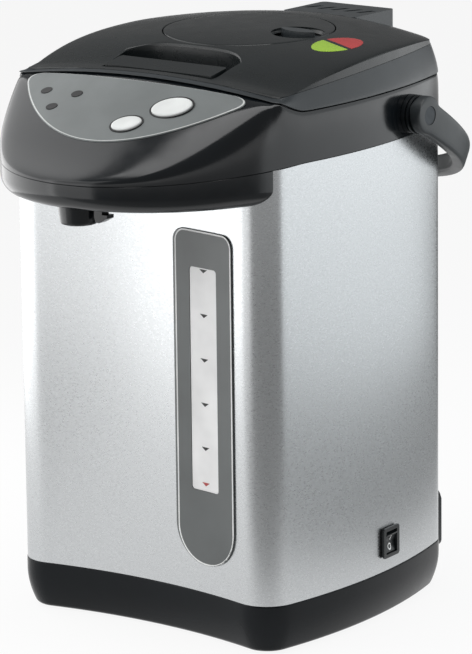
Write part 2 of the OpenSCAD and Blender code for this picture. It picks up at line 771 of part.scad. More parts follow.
// Stands children on the sloped surface of the nose, with their z along its normal
module at_button(p) {
    tilt = 2 * (corner_drop - 2) * p.x / pow(lid_corner_p.x, 2);
    translate([p.x, p.y, nose_z(p)]) rotate([panel_angle, 0, 0]) rotate([0, atan(tilt), 0]) children();
}

module push_button(a, b) {
    color(white_plastic) union() {
        translate([0, 0, -4.8]) linear_extrude(6.2) polygon(oval(a, b, 40, button_turn));
        translate([0, 0, 1.39]) linear_extrude(0.5) polygon(oval(a - 0.5, b - 0.5, 40, button_turn));
        translate([0, 0, -6]) linear_extrude(1.3) polygon(oval(a + 1.2, b + 1.2, 40, button_turn));
        translate([0, 0, -8.6]) cylinder(h = 3, r = 2, $fn = 32);
    }
}

module dispense_button() {
    at_button(dispense_p) push_button(12.1, 7.4);
}

module reboil_button() {
    at_button(reboil_p) push_button(9.1, 5.6);
}

module indicator_lenses() {
    color("#101314") for (p = lens_spots) at_button(p) {
        translate([0, 0, -4]) linear_extrude(5.1) polygon(oval(3.7, 2.5, 24, 12));
        translate([0, 0, -5]) linear_extrude(1.2) polygon(oval(4.6, 3.4, 24, 12));
    }
}

module control_board() {
    color(board_green) at_button([0, -106]) {
        translate([-56, -13, -13.6]) cube([112, 24, 1.6]);
        for (p = [dispense_p, reboil_p]) translate([p.x, (p.y + 106) / cos(panel_angle), -12.1])
            translate([-3, -3, 0]) cube([6, 6, 0.9]);
        for (p = lens_spots) translate([p.x, (p.y + 106) / cos(panel_angle), -12.1])
            cylinder(h = 3.4, r = 1.5, $fn = 24);
        translate([-14, -9, -12.1]) cube([9, 9, 1.4]);
    }
}

module power_board() {
    color(board_green) translate([30, 4, 12]) {
        cube([48, 50, 1.6]);
        translate([4, 4, 1.5]) cube([20, 18, 14]);
        translate([28, 5, 1.5]) cube([15, 19, 12]);
        translate([9, 36, 1.5]) cylinder(h = 12, r = 5, $fn = 32);
        translate([24, 30, 1.5]) cube([18, 7, 9]);
        for (x = [3, 45], y = [3, 47]) translate([x, y, -4.95]) cylinder(h = 5, r = 2.2, $fn = 24);
    }
}

// Mains inlet and switch

inlet_back = 98.6;

module mains_inlet() {
    color(black) difference() {
        union() {
            difference() {
                translate([inlet_x, inlet_back, inlet_z]) rotate([90, 0, 0]) rounded_plate(31, 36, 4, 22);
                body_prism(-0.75, 0, 60);
                translate([inlet_x, inlet_back, inlet_z + 11]) rotate([24, 0, 0]) block(-20, 20, 0, 10, -2, 20);
            }
            block(inlet_x - 12, inlet_x + 12, 76, 97, inlet_z - 12, inlet_z + 12);
        }
        translate([inlet_x, 101, inlet_z]) rotate([90, 0, 0]) rounded_plate(20, 16, 3, 19);
    }
    color(steel) for (s = [-1, 1]) translate([inlet_x + s * 4.5, 93, inlet_z]) rotate([90, 0, 0])
        cylinder(h = 14, r = 1.8, $fn = 32);
}

module switch_bezel() {
    color(black) at_switch() difference() {
        union() {
            translate([0.5, 0, 0]) rotate([90, 0, 90]) linear_extrude(1.3) offset(delta = 2, chamfer = true)
                square([switch_w - 4, switch_h - 4], center = true);
            block(-12, 0.6, -switch_in.x, switch_in.x, -switch_in.y, switch_in.y);
        }
        block(-10.5, 5, -5.9, 5.9, -6.7, 6.7);
        translate([rocker_x, 0, 0]) rotate([90, 0, 0]) cylinder(h = 13.8, r = 1.27, center = true, $fn = 32);
    }
}

rocker_x = -3;
rocker_tilt = 8;

module rocker_switch() {
    color(black) at_switch() translate([rocker_x, 0, 0]) {
        rotate([90, 0, 0]) cylinder(h = 13.6, r = 1.2, center = true, $fn = 32);
        rotate([90, rocker_tilt, 0]) translate([0, 0, -5.6]) linear_extrude(11.2)
            polygon([[-2.4, -2.1], [0.4, -5.7], [4.6, -5.5], [3.3, -2.7], [2.9, 0], [3.3, 2.7], [4.6, 5.5],
                [0.4, 5.7], [-2.4, 2.1]]);
    }
}

// Bail handle

arm_in = 103.1;
arm_out = 110.2;
boss_r = 11;

module handle_boss(s) {
    color(dark_plastic) difference() {
        translate([0, pivot_y, pivot_z]) union() {
            along_x(boss_r, s > 0 ? 90 : -100, s > 0 ? 100 : -90, 72);
            along_x(boss_r - 1.6, s > 0 ? 90 : -102.7, s > 0 ? 102.7 : -90, 72);
            along_x(boss_r, s > 0 ? 101 : -102.7, s > 0 ? 102.7 : -101, 72);
        }
        body_prism(-0.5, 270, 310);
        translate([0, pivot_y, pivot_z]) along_x(4.02, s > 0 ? 85 : -105, s > 0 ? 105 : -85);
    }
}

module handle_boss_left() {
    handle_boss(-1);
}

module handle_boss_right() {
    handle_boss(1);
}

module handle_pins() {
    color(steel) for (s = [-1, 1]) translate([0, pivot_y, pivot_z]) mirror([s < 0 ? 1 : 0, 0, 0]) {
        along_x(4, 91.2, 109);
        along_x(5.2, 108.9, 109.9);
        along_x(6.5, 90.2, 91.6);
    }
}

grip_t = 7.5;
bail_power = 2.6;

// The bail in its own frame: x across, y along its reach from the pivots, z square to both
module bail_handle() {
    color(black) translate([0, pivot_y, pivot_z]) rotate([-bail_hang, 0, 0]) difference() {
        intersection() {
            linear_extrude(80, center = true) difference() {
                polygon(bail_plan(arm_out, bail_reach, 20));
                polygon(bail_plan(arm_in, bail_reach - grip_t, 30));
            }
            rotate([90, 0, 90]) linear_extrude(240, center = true) bail_side();
        }
        along_x(4.06, -120, 120);
        for (s = [-1, 1]) along_x(5.4, s > 0 ? 108.7 : -120, s > 0 ? 120 : -108.7);
    }
}

// A superellipse's upper half with straight legs
function bail_plan(half, reach, legs) = concat([[half, -legs]],
    [for (a = [0:3:180]) let(c = cos(a), s = sin(a))
        [sign(c) * half * pow(abs(c), 2 / bail_power), reach * pow(max(0, s), 2 / bail_power)]],
    [[-half, -legs]]);

module bail_side() {
    middle = [bail_reach / 2, 0.45];
    circle(11, $fn = 72);
    hull() {
        translate([4, -0.5]) circle(9.3, $fn = 48);
        translate(middle) circle(8.1, $fn = 48);
    }
    hull() {
        translate(middle) circle(8.1, $fn = 48);
        translate([bail_reach - 3, 0]) circle(grip_half, $fn = 48);
    }
}

// Lid hinge

hinge_y = 104.6;
hinge_z = 305.5;
barrel_r = 4.2;
leaf_w = 13;
bracket_w = 26;

module hinge_bracket() {
    color(dark_plastic) difference() {
        union() {
            block(-bracket_w, bracket_w, 100.05, 102.2, 282, 299.5);
            for (s = [-1, 1]) {
                translate([0, hinge_y, hinge_z]) along_x(barrel_r, s > 0 ? leaf_w + 0.4 : -bracket_w,
                    s > 0 ? bracket_w : -leaf_w - 0.4);
                block(s > 0 ? leaf_w + 0.4 : -bracket_w, s > 0 ? bracket_w : -leaf_w - 0.4,
                    100.4, 104.6, 296, hinge_z);
            }
        }
        translate([0, hinge_y, hinge_z]) along_x(1.76, -60, 60);
    }
}

module hinge_pin() {
    color(steel) translate([0, hinge_y, hinge_z]) {
        along_x(1.74, -bracket_w - 1, bracket_w + 1);
        for (s = [-1, 1]) along_x(2.8, s > 0 ? bracket_w + 0.1 : -bracket_w - 1.2,
            s > 0 ? bracket_w + 1.2 : -bracket_w - 0.1);
    }
}

module lid_hinge_leaf() {
    color(dark_plastic) difference() {
        union() {
            block(-leaf_w, leaf_w, 100.05, 102.2, 307, 317.5);
            translate([0, hinge_y, hinge_z]) along_x(barrel_r, -leaf_w, leaf_w);
            block(-leaf_w, leaf_w, 100.6, 104.6, hinge_z + 0.5, 311);
        }
        translate([0, hinge_y, hinge_z]) along_x(1.82, -60, 60);
    }
}

// Lid

lid_gap = 0.6;
well_r = 76.5;
floor_top = 304.5;
floor_under = 302.4;
well_top = 291;
well_under = 289;

function round_pot(r) = [for (p = lid_ring0) [0, pot_y] + r * unit(p - [0, pot_y])];
function gap_ring(inset) =
    let(r = lid_ring(inset)) [for (i = [0:ring_n - 1]) [r[i].x, r[i].y, gap_z(i) + lid_gap]];
function crease_ring(inset, up) =
    let(r = lid_ring(inset)) [for (i = [0:ring_n - 1]) [r[i].x, r[i].y, crease_z(i) + up]];
function band_ring(inset, t) =
    let(r = lid_ring(inset))
    [for (i = [0:ring_n - 1]) [r[i].x, r[i].y, mix(gap_z(i) + lid_gap, crease_z(i), t)]];

module lid_body() {
    color(dark_plastic) difference() {
        skin([lift(round_pot(well_r), well_under), lift(round_pot(well_r), floor_under),
            lift(lid_ring(4.6), floor_under), gap_ring(3.2), gap_ring(0.2), band_ring(1.2, 0.35),
            band_ring(2.8, 0.72), crease_ring(4.6, 0), crease_ring(7, 0), lift(lid_ring(7), floor_top),
            lift(round_pot(well_r - 2.4), floor_top), lift(round_pot(well_r - 2.4), well_top)],
            [0, pot_y, well_under], [0, pot_y, well_top]);
        block(-8.3, 8.3, -90, -70, 304.9, 308.6);
        translate([0, steam_y, 280]) cylinder(h = 20, r = 3, $fn = 48);
    }
}

dome_c = [0, 5];
dome_power = 10;
dome_skin = 2.4;

function dome_ring(inset, k, up) =
    let(r = lid_ring(inset))
    [for (i = [0:ring_n - 1]) let(p = dome_c + (r[i] - dome_c) * k, rim = crease_z(i) + 0.15)
        [p.x, p.y, rim + (crown(p) - rim) * pillow(1 - k, dome_power) + up]];

outer_steps = [1, 0.985, 0.955, 0.91, 0.85, 0.72, 0.5, 0.25];
inner_steps = [0.25, 0.5, 0.72, 0.88, 0.96];

// Recess for the fingers: straight in front and at its sides, with a rounded back
recess_front = [39, -67.4];
recess_rear = [40.6, -43];
recess_back = -31.5;
function recess_outline(grow = 0) =
    let(half = concat([recess_front],
            [for (i = [0:9]) let(x = recess_rear.x * cos(10 * i))
                [x, recess_back + (recess_rear.y - recess_back) * pow(x / recess_rear.x, 4.5)]]),
        all = concat(half, [for (i = [len(half) - 2:-1:0]) flip(half[i])]), c = [0, -51])
    [for (p = all) p + grow * unit([p.x - c.x, 2.2 * (p.y - c.y)])];
recess_floor = 311;

module lid_cover() {
    color(black) difference() {
        union() {
            skin(concat([for (k = inner_steps) dome_ring(7.2, k, -dome_skin)],
                [dome_ring(7.2, 1, 0)], [for (k = outer_steps) dome_ring(4.8, k, 0)]),
                [dome_c.x, dome_c.y, crown(dome_c) - dome_skin], [dome_c.x, dome_c.y, crown(dome_c)]);
            recess_cup();
        }
        translate([0, 0, recess_floor]) linear_extrude(60) polygon(recess_outline());
        translate([0, plate_y, 300]) linear_extrude(60) polygon(oval(plate_a + 0.5, plate_b + 0.5, 60));
        block(-10, 10, lever_y - 3.8, lever_y + 4.6, 300, 318);
        translate([0, lever_y, lever_z]) along_x(1.62, -pin_half - 0.5, pin_half + 0.5);
    }
}

module recess_cup() {
    wide = recess_outline(1.8);
    skin([lift(wide, recess_floor - 1.6), [for (p = wide) [p.x, p.y, crown(p) - 1.2]]],
        [0, -51, recess_floor - 1.6], [0, -51, crown([0, -51]) - 1.2]);
}

module lid_liner() {
    color(steel) at_pot() rotate_extrude($fn = 120) polygon([[0, 286.4], [66, 286.4], [70, 287.4],
        [75.6, 288.1], [75.6, 288.9], [70, 288.2], [66, 287.2], [0, 287.2]]);
}

module liner_screws() {
    color(steel) for (a = [30:120:270]) at_pot() rotate(a) translate([58, 0, 0]) {
        translate([0, 0, 284.9]) cylinder(h = 1.45, r = 3, $fn = 32);
        translate([0, 0, 287.25]) cylinder(h = 1.7, r = 1.4, $fn = 24);
    }
}

module lid_gasket() {
    color(silicone) at_pot() rotate_extrude($fn = 120) polygon([[well_r + 0.05, 292], [well_r + 1.2, 292],
        [well_r + 2.2, 294.5], [well_r + 2.2, 296], [well_r + 1.2, 299], [well_r + 0.05, 299]]);
}

vent_x = 26;
vent_front = 84;
vent_under = 318.6;

module vent_box() {
    color(dark_plastic) difference() {
        translate([0, (vent_front + vent_reach) / 2, vent_under])
            rounded_plate(2 * vent_x, vent_reach - vent_front, 3, vent_top - vent_under);
        lid_block();
        block(-vent_x + 2.4, vent_x - 2.4, 101.5, vent_reach - 2.4, vent_under + 2, vent_top - 2);
        for (i = [-2:2]) translate([i * 9.4, 106, 0]) vent_slot();
    }
}

module vent_slot() {
    linear_extrude(vent_top + 2) polygon([[-4, -5], [-0.6, -5], [4, 5], [0.6, 5]]);
}

// The outer form of the closed lid, a hair larger, for cutting what sits against it
module lid_block() {
    skin(concat([lift(lid_ring(-0.1), 300)], [crease_ring(-0.1, -4)], [dome_ring(3.6, 1, -0.4)],
        [for (k = tail(outer_steps)) dome_ring(4.6, k, 0.12)]),
        [dome_c.x, dome_c.y, 300], [dome_c.x, dome_c.y, crown(dome_c) + 0.12]);
}

steam_y = 76;

module steam_valve() {
    color(silicone) translate([0, steam_y, 0]) {
        ring(3, 6.5, well_top + 0.05, 309, 48);
        translate([0, 0, 308.9]) cylinder(h = 4, r1 = 6.5, r2 = 4, $fn = 48);
    }
}

// Manual air pump

plate_y = 18;
bellows_r = 29;
bellows_top = 322.5;
folds = 5;

module air_bellows() {
    z0 = well_top + 0.1;
    step = (bellows_top - z0) / folds;
    wavy = [for (i = [0:folds - 1]) each [[bellows_r, z0 + i * step], [bellows_r - 5, z0 + (i + 0.5) * step]]];
    back = [for (i = [folds - 1:-1:0]) each [[bellows_r - 6.4, z0 + (i + 0.5) * step],
        [bellows_r - 1.6, z0 + i * step + 0.2]]];
    color("#3a3d3f") translate([0, plate_y, 0]) rotate_extrude($fn = 72)
        polygon(concat(wavy, [[bellows_r, bellows_top], [0, bellows_top], [0, bellows_top - 1.6],
            [bellows_r - 2.4, bellows_top - 1.6]], back));
}

module bellows_spring() {
    color(steel) translate([0, plate_y, 0]) ring(12.5, 14, well_top + 0.1, bellows_top - 1.7, 48);
}

dial_p = [34.5, 18.5];
dial_r = 14;
dial_floor = 328.2;

module pump_plate() {
    skirt = 321.8;
    steps = [1, 0.97, 0.75, 0.5, 0.25];
    function plate_ring(k, up) =
        [for (p = oval(plate_a * k, plate_b * k, 60)) let(q = [p.x, p.y + plate_y]) [q.x, q.y, crown(q) + up]];
    function skirt_ring(inset) =
        lift([for (p = oval(plate_a - inset, plate_b - inset, 60)) [p.x, p.y + plate_y]], skirt);
    c = [0, plate_y];
    color(black) difference() {
        union() {
            skin(concat([plate_ring(0.3, -2.4), plate_ring(0.6, -2.4), plate_ring(0.94, -2.4)],
                [skirt_ring(2.6), skirt_ring(0), plate_ring(1, -0.5)], [for (k = tail(steps)) plate_ring(k, 0)]),
                [c.x, c.y, crown(c) - 2.4], [c.x, c.y, crown(c)]);
            translate([c.x, c.y, bellows_top + 0.05]) cylinder(h = crown(c) - bellows_top - 1.5, r = 9, $fn = 48);
            translate([dial_p.x, dial_p.y, dial_floor - 2]) cylinder(h = 4.5, r = dial_r + 1.4, $fn = 64);
        }
        translate([dial_p.x, dial_p.y, dial_floor]) cylinder(h = 20, r = dial_r, $fn = 64);
        translate([dial_p.x, dial_p.y, 320]) cylinder(h = 20, r = 3.06, $fn = 32);
    }
}

dial_a = -10;

module lock_dial() {
    color(dark_plastic) translate([dial_p.x, dial_p.y, 0]) rotate(dial_a) {
        translate([0, 0, dial_floor + 0.1]) cylinder(h = 2, r = dial_r - 0.3, $fn = 64);
        translate([0, 0, dial_floor + 2]) linear_extrude(5) intersection_for(s = [-1, 1])
            translate([0, s * 17, 0]) circle(22, $fn = 120);
        translate([0, 0, 322.6]) cylinder(h = dial_floor - 322.4, r = 3, $fn = 32);
        translate([0, 0, 321.4]) cylinder(h = 1.3, r = 4.2, $fn = 32);
    }
}

// Lid release

lever_y = -62.5;
lever_z = 317.6;
pin_half = 42.5;

module release_lever() {
    edge = [[-37.6, -66.2], [37.6, -66.2], [37.9, -53], [36.6, -51.3], [-36.6, -51.3], [-37.9, -53]];
    function lever_top(p) = 320.8 + 0.2 * (p.y + 66.2);
    color(black) difference() {
        union() {
            skin([[for (p = edge) [p.x, p.y, lever_top(p) - 2.2]], [for (p = edge) [p.x, p.y, lever_top(p)]]],
                [0, -58, lever_top([0, -58]) - 2.2], [0, -58, lever_top([0, -58])]);
            for (s = [-1, 1]) {
                translate([0, lever_y, lever_z]) along_x(2.9, s > 0 ? 11 : -36, s > 0 ? 36 : -11, 40);
                block(s > 0 ? 11 : -36, s > 0 ? 36 : -11, lever_y - 1.5, lever_y + 1.5, lever_z, 320.2);
            }
            block(-4, 4, lever_y - 1.4, lever_y + 1.4, 306.4, lever_z - 2);
            block(-4, 4, lever_y - 3, lever_y - 2.1, lever_z - 4, 320);
            block(-4, 4, lever_y - 3, lever_y + 1.4, lever_z - 4.2, lever_z - 2.2);
        }
        translate([0, lever_y, lever_z]) {
            along_x(1.66, -60, 60);
            for (s = [-1, 1]) along_x(2.3, s > 0 ? 4.5 : -10.8, s > 0 ? 10.8 : -4.5, 32);
        }
    }
}

module lever_pin() {
    color(steel) translate([0, lever_y, lever_z]) along_x(1.6, -pin_half, pin_half, 32);
}

module lever_spring() {
    color(steel) translate([0, lever_y, lever_z]) for (s = [-1, 1]) difference() {
        along_x(2.1, s > 0 ? 5 : -10.4, s > 0 ? 10.4 : -5, 32);
        along_x(1.65, -20, 20, 32);
    }
}

module latch_bolt() {
    color(dark_plastic) difference() {
        block(-8, 8, lid_line_y(0) + 0.3, lever_y + 4.5, 305.2, 308.2);
        block(-5, 5, lever_y - 4, lever_y + 2, 300, 312);
    }
}

module placed() {
    translate([0, shift_y, 0]) children();
}

placed() base_moulding();
placed() bottom_cover();
placed() rubber_feet();
placed() base_screws();
placed() steel_wrap();
placed() inner_frame();
placed() inner_pot();
placed() pot_gasket();
placed() boil_heater();
placed() keep_warm_band();
placed() thermostat();
placed() dry_boil_cutout();
placed() thermal_fuse();
placed() pump_housing();
placed() pump_motor();
placed() pump_rotor();
placed() inlet_hose();
placed() delivery_hose();
placed() gauge_tube();
placed() outlet_hose();
placed() gauge_panel();
placed() gauge_window();
placed() top_housing();
placed() spout_cover();
placed() spout_nozzle();
placed() nozzle_clip();
placed() control_panel();
placed() indicator_lenses();
placed() control_board();
placed() power_board();
placed() mains_inlet();
placed() switch_bezel();
placed() rocker_switch();
placed() dispense_button();
placed() reboil_button();
placed() handle_boss_left();
placed() handle_boss_right();
placed() handle_pins();
placed() bail_handle();
placed() hinge_bracket();
placed() hinge_pin();
placed() lid_hinge_leaf();
placed() lid_body();
placed() lid_cover();
placed() lid_liner();
placed() liner_screws();
placed() lid_gasket();
placed() vent_box();
placed() steam_valve();
placed() air_bellows();
placed() bellows_spring();
placed() release_lever();
placed() lever_pin();
placed() lever_spring();
placed() latch_bolt();
placed() pump_plate();
placed() lock_dial();
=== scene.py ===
"""Looks of the electric hot water urn: finishes, modelled shells, light and camera."""

import json
import math

import bpy
from mathutils import Matrix, Vector


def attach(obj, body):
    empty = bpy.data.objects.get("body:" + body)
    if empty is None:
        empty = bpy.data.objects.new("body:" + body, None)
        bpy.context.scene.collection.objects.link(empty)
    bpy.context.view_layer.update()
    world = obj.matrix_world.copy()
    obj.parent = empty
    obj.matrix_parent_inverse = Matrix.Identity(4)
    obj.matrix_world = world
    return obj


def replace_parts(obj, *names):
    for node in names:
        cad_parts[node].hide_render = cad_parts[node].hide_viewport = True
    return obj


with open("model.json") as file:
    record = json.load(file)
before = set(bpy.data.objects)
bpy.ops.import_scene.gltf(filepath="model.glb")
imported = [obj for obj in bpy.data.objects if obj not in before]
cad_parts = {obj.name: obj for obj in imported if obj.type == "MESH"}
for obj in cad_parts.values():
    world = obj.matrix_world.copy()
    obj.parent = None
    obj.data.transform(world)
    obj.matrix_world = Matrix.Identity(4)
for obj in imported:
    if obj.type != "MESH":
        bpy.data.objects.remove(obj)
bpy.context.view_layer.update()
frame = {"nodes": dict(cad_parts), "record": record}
nodes = frame["nodes"]
MM = 0.001
# How far the body's centre lies behind the frame's origin
FRAME_SHIFT = 11.196
PARTS = {part["node"]: part for part in frame["record"]["subparts"]}
BODY_OF = {node: body for body, members in frame["record"]["behaviour"]["bodies"].items()
           for node in members}


# Node materials

# Where noise starts and ends to count, as most of it lies between
NOISE_LOW, NOISE_HIGH = 0.3, 0.7


class Finish:
    """A node material built up step by step on one Principled shader."""

    def __init__(self, name, colour, roughness, metallic=0.0):
        self.material = bpy.data.materials.new(name)
        self.material.use_nodes = True
        self.tree = self.material.node_tree
        self.shader = self.tree.nodes["Principled BSDF"]
        self.set("Base Color", (*colour, 1.0))
        self.set("Roughness", roughness)
        self.set("Metallic", metallic)
        self.colour = colour
        self.roughness = roughness

    def set(self, socket, value):
        self.shader.inputs[socket].default_value = value

    def node(self, kind, **settings):
        """A shader node; settings name its properties and its inputs."""
        made = self.tree.nodes.new(kind)
        for key, value in settings.items():
            if hasattr(made, key):
                setattr(made, key, value)
            else:
                made.inputs[key].default_value = value
        return made

    def link(self, source, target):
        self.tree.links.new(source, target)

    def noise(self, scale, detail, stretch=(1.0, 1.0, 1.0), roughness=0.5):
        """Noise over the object's own coordinates; scale is in cells a metre."""
        coords = self.node("ShaderNodeTexCoord")
        mapping = self.node("ShaderNodeMapping", Scale=stretch)
        made = self.node("ShaderNodeTexNoise", Scale=scale, Detail=detail, Roughness=roughness)
        self.link(coords.outputs["Object"], mapping.inputs["Vector"])
        self.link(mapping.outputs["Vector"], made.inputs["Vector"])
        return made.outputs["Fac"]

    def ramp(self, value, low, high, start=NOISE_LOW, end=NOISE_HIGH):
        """Maps a value that runs from start to end to one from low to high."""
        made = self.node("ShaderNodeMapRange", **{"From Min": start, "From Max": end,
                                                  "To Min": low, "To Max": high})
        self.link(value, made.inputs["Value"])
        return made.outputs["Result"]

    def blend_colour(self, value, first, second):
        made = self.node("ShaderNodeMix", data_type="RGBA")
        made.inputs["A"].default_value = (*first, 1.0)
        made.inputs["B"].default_value = (*second, 1.0)
        self.link(value, made.inputs["Factor"])
        self.link(made.outputs["Result"], self.shader.inputs["Base Color"])

    def vary_colour(self, value, darker, lighter):
        self.blend_colour(self.ramp(value, 0.0, 1.0), [c * darker for c in self.colour],
                          [min(1.0, c * lighter) for c in self.colour])

    def vary_roughness(self, value, spread):
        low = max(0.0, self.roughness - spread)
        self.link(self.ramp(value, low, self.roughness + spread), self.shader.inputs["Roughness"])

    def bump(self, value, depth, strength):
        """Bumps of a depth in metres."""
        made = self.node("ShaderNodeBump", Strength=strength, Distance=depth)
        self.link(value, made.inputs["Height"])
        self.link(made.outputs["Normal"], self.shader.inputs["Normal"])


def moulded(name, colour, roughness, depth=0.00002, specular=0.5):
    """Moulded plastic: faint colour drift, patchy polish and a fine grain."""
    made = Finish(name, colour, roughness)
    made.set("Specular IOR Level", specular)
    made.vary_colour(made.noise(35.0, 3.0), 0.9, 1.1)
    made.vary_roughness(made.noise(90.0, 4.0), 0.03)
    made.bump(made.noise(2500.0, 2.0), depth, 0.6)
    return made.material


def brushed(name, colour, roughness):
    """Satin sheet: short level scratches with a fine sparkle, in colour, polish and bump."""
    made = Finish(name, colour, roughness, 1.0)
    grain = made.noise(1100.0, 2.0, (0.7, 0.7, 1.4), 0.6)
    made.vary_colour(grain, 0.92, 1.06)
    made.vary_roughness(made.noise(700.0, 2.0, (0.7, 0.7, 1.6)), 0.05)
    made.bump(grain, 0.00001, 0.3)
    return made.material


def metal(name, colour, roughness):
    """Plain metal with patchy polish."""
    made = Finish(name, colour, roughness, 1.0)
    made.vary_roughness(made.noise(300.0, 3.0), 0.06)
    return made.material


FINISHES = {
    "black_gloss": moulded("gloss_black_plastic", (0.006, 0.008, 0.01), 0.16, depth=0.000003),
    "base_black": moulded("satin_base_plastic", (0.008, 0.01, 0.012), 0.24, specular=0.15),
    "lid_black": moulded("satin_black_plastic", (0.009, 0.012, 0.013), 0.28),
    "lid_grey": moulded("satin_grey_plastic", (0.03, 0.036, 0.04), 0.32),
    "dark_plastic": moulded("dark_moulded_plastic", (0.012, 0.015, 0.017), 0.32),
    "handle_satin": moulded("satin_handle_plastic", (0.032, 0.038, 0.041), 0.4),
    "console_grey": moulded("grey_console_lacquer", (0.15, 0.165, 0.165), 0.38),
    "panel_grey": moulded("grey_panel_lacquer", (0.12, 0.13, 0.13), 0.4),
    "pale_plastic": moulded("pale_moulded_plastic", (0.75, 0.77, 0.76), 0.4),
    "frosted_window": moulded("frosted_white_window", (0.92, 0.92, 0.92), 0.35),
    "brushed_wrap": brushed("brushed_steel_wrap", (0.56, 0.575, 0.585), 0.3),
    "pot_steel": brushed("drawn_pot_steel", (0.66, 0.67, 0.68), 0.25),
    "screw_steel": metal("bright_zinc_steel", (0.6, 0.61, 0.62), 0.3),
    "heater_alloy": metal("cast_heater_alloy", (0.55, 0.55, 0.56), 0.5),
    "black_steel": metal("blackened_steel", (0.05, 0.055, 0.06), 0.45),
    "brass": metal("turned_brass", (0.75, 0.58, 0.28), 0.3),
    "silicone": moulded("translucent_silicone", (0.6, 0.58, 0.52), 0.5),
    "rubber": moulded("black_rubber", (0.02, 0.02, 0.02), 0.7),
    "clear_glass": moulded("clear_gauge_tube", (0.8, 0.86, 0.88), 0.08),
    "lens": moulded("dark_indicator_lens", (0.002, 0.002, 0.003), 0.45),
    "white_paint": moulded("white_printing_ink", (0.9, 0.91, 0.9), 0.45),
    "black_paint": moulded("black_printing_ink", (0.01, 0.01, 0.01), 0.5),
    "red_paint": moulded("red_printing_ink", (0.45, 0.05, 0.05), 0.4),
    "green_paint": moulded("green_printing_ink", (0.32, 0.52, 0.05), 0.4),
    # A painted highlight: the light that the control panel's raised rim catches
    "panel_line": moulded("painted_highlight_panel_edge", (0.6, 0.62, 0.61), 0.35),
    "board": moulded("circuit_board_lacquer", (0.03, 0.16, 0.07), 0.35),
}
# Widths in mm of the moulded edges of CAD nodes
SOFT_EDGES = {
    0.4: ("switch_bezel", "release_lever", "nozzle_clip", "mains_inlet", "lid_hinge_leaf"),
    0.5: ("vent_box", "lock_dial", "handle_boss_left", "handle_boss_right", "spout_nozzle",
          "hinge_bracket"),
}


def dress(obj, material):
    obj.data.materials.clear()
    obj.data.materials.append(material)


def soften(node, width):
    """Rounds the sharp edges of a CAD node, as a mould does."""
    bevel = nodes[node].modifiers.new("soft_edges", "BEVEL")
    bevel.width = width * MM
    bevel.segments = 2
    bevel.limit_method = "ANGLE"
    bevel.angle_limit = math.radians(40)
    bevel.harden_normals = True


for node, part in PARTS.items():
    dress(nodes[node], FINISHES[part["material_slot"]])
dress(nodes["handle_pins"], FINISHES["black_steel"])
for width, soft_nodes in SOFT_EDGES.items():
    for node in soft_nodes:
        soften(node, width)


# Plan curves and surfaces, in millimetres round the body's centre


def arc(centre, radius, start, end, steps):
    """Points of an arc, by the shorter way from start to end."""
    turn = (end - start + math.pi) % (2 * math.pi) - math.pi
    angles = [start + turn * i / steps for i in range(steps + 1)]
    return [centre + radius * Vector((math.cos(a), math.sin(a))) for a in angles]


def heading(v):
    return math.atan2(v.y, v.x)


def mix(a, b, t):
    return a + (b - a) * t


def bezier(p, q, r, s, t):
    """A point of a cubic curve from p to s with handles q and r."""
    return (1 - t) ** 3 * p + 3 * (1 - t) ** 2 * t * q + 3 * (1 - t) * t * t * r + t ** 3 * s


def oval(a, b, count, turned=0.0):
    angles = [2 * math.pi * i / count for i in range(count)]
    turn = Matrix.Rotation(turned, 2)
    return [turn @ Vector((a * math.cos(t), b * math.sin(t))) for t in angles]


def disc(centre, radius, count):
    return [p + centre for p in oval(radius, radius, count)]


def pillow(s, power):
    """A superellipse's rise from 0 at its rim to 1 in its middle."""
    return (1 - (1 - min(1.0, max(0.0, s))) ** power) ** (1 / power)


def soft_max(a, b, r):
    """The larger of two values, with the kink rounded over r."""
    return (a + b + math.hypot(a - b, r)) / 2


def soft_min(a, b, r):
    return (a + b - math.hypot(a - b, r)) / 2


def lookup(x, table):
    """Height of a line of points, sorted by x, at x."""
    if x <= table[0].x:
        return table[0].y
    for p, q in zip(table, table[1:]):
        if x <= q.x:
            return mix(p.y, q.y, (x - p.x) / (q.x - p.x))
    return table[-1].y


# Body plan: four bowed sides with rounded corners, anticlockwise from the front left;
# a side's bow is how far its middle stands out

FRONT_W, REAR_W, BODY_D = 180.0, 166.5, 185.0
CORNERS = [Vector(p) for p in ((-FRONT_W / 2, -BODY_D / 2), (FRONT_W / 2, -BODY_D / 2),
                               (REAR_W / 2, BODY_D / 2), (-REAR_W / 2, BODY_D / 2))]
CORNER_R = [19.0, 19.0, 21.5, 21.5]
BOWS = [-12.7, 13.0, 7.0, 13.0]
CORNER_STEPS = 12
EDGE_STEPS = [36, 28, 22, 28]


def bow_circle(p, q, bow):
    """Centre, radius and sense (1 out, -1 in) of the arc that bows a side from p to q."""
    half = (q - p).length / 2
    radius = (half * half + bow * bow) / (2 * abs(bow))
    out = Vector((q.y - p.y, p.x - q.x)).normalized()
    sense = math.copysign(1, bow)
    return (p + q) / 2 - out * sense * (radius - abs(bow)), radius, sense


def meet(a, ra, b, rb, near):
    """Where two circles meet, on the side of a near point."""
    d = (b - a).length
    e = (b - a) / d
    x = (d * d + ra * ra - rb * rb) / (2 * d)
    h = math.sqrt(ra * ra - x * x)
    side = Vector((-e.y, e.x))
    return min((a + x * e + h * side, a + x * e - h * side), key=lambda p: (p - near).length)


EDGES = [bow_circle(CORNERS[k], CORNERS[(k + 1) % 4], BOWS[k]) for k in range(4)]
FILLETS = []
for k, (corner, radius) in enumerate(zip(CORNERS, CORNER_R)):
    before, after = EDGES[k - 1], EDGES[k]
    FILLETS.append(meet(before[0], before[1] - before[2] * radius,
                        after[0], after[1] - after[2] * radius, corner))


def fillet_arc(k, inset):
    before, after, centre = EDGES[k - 1], EDGES[k], FILLETS[k]
    return arc(centre, CORNER_R[k] - inset, heading(before[2] * (centre - before[0])),
               heading(after[2] * (centre - after[0])), CORNER_STEPS)


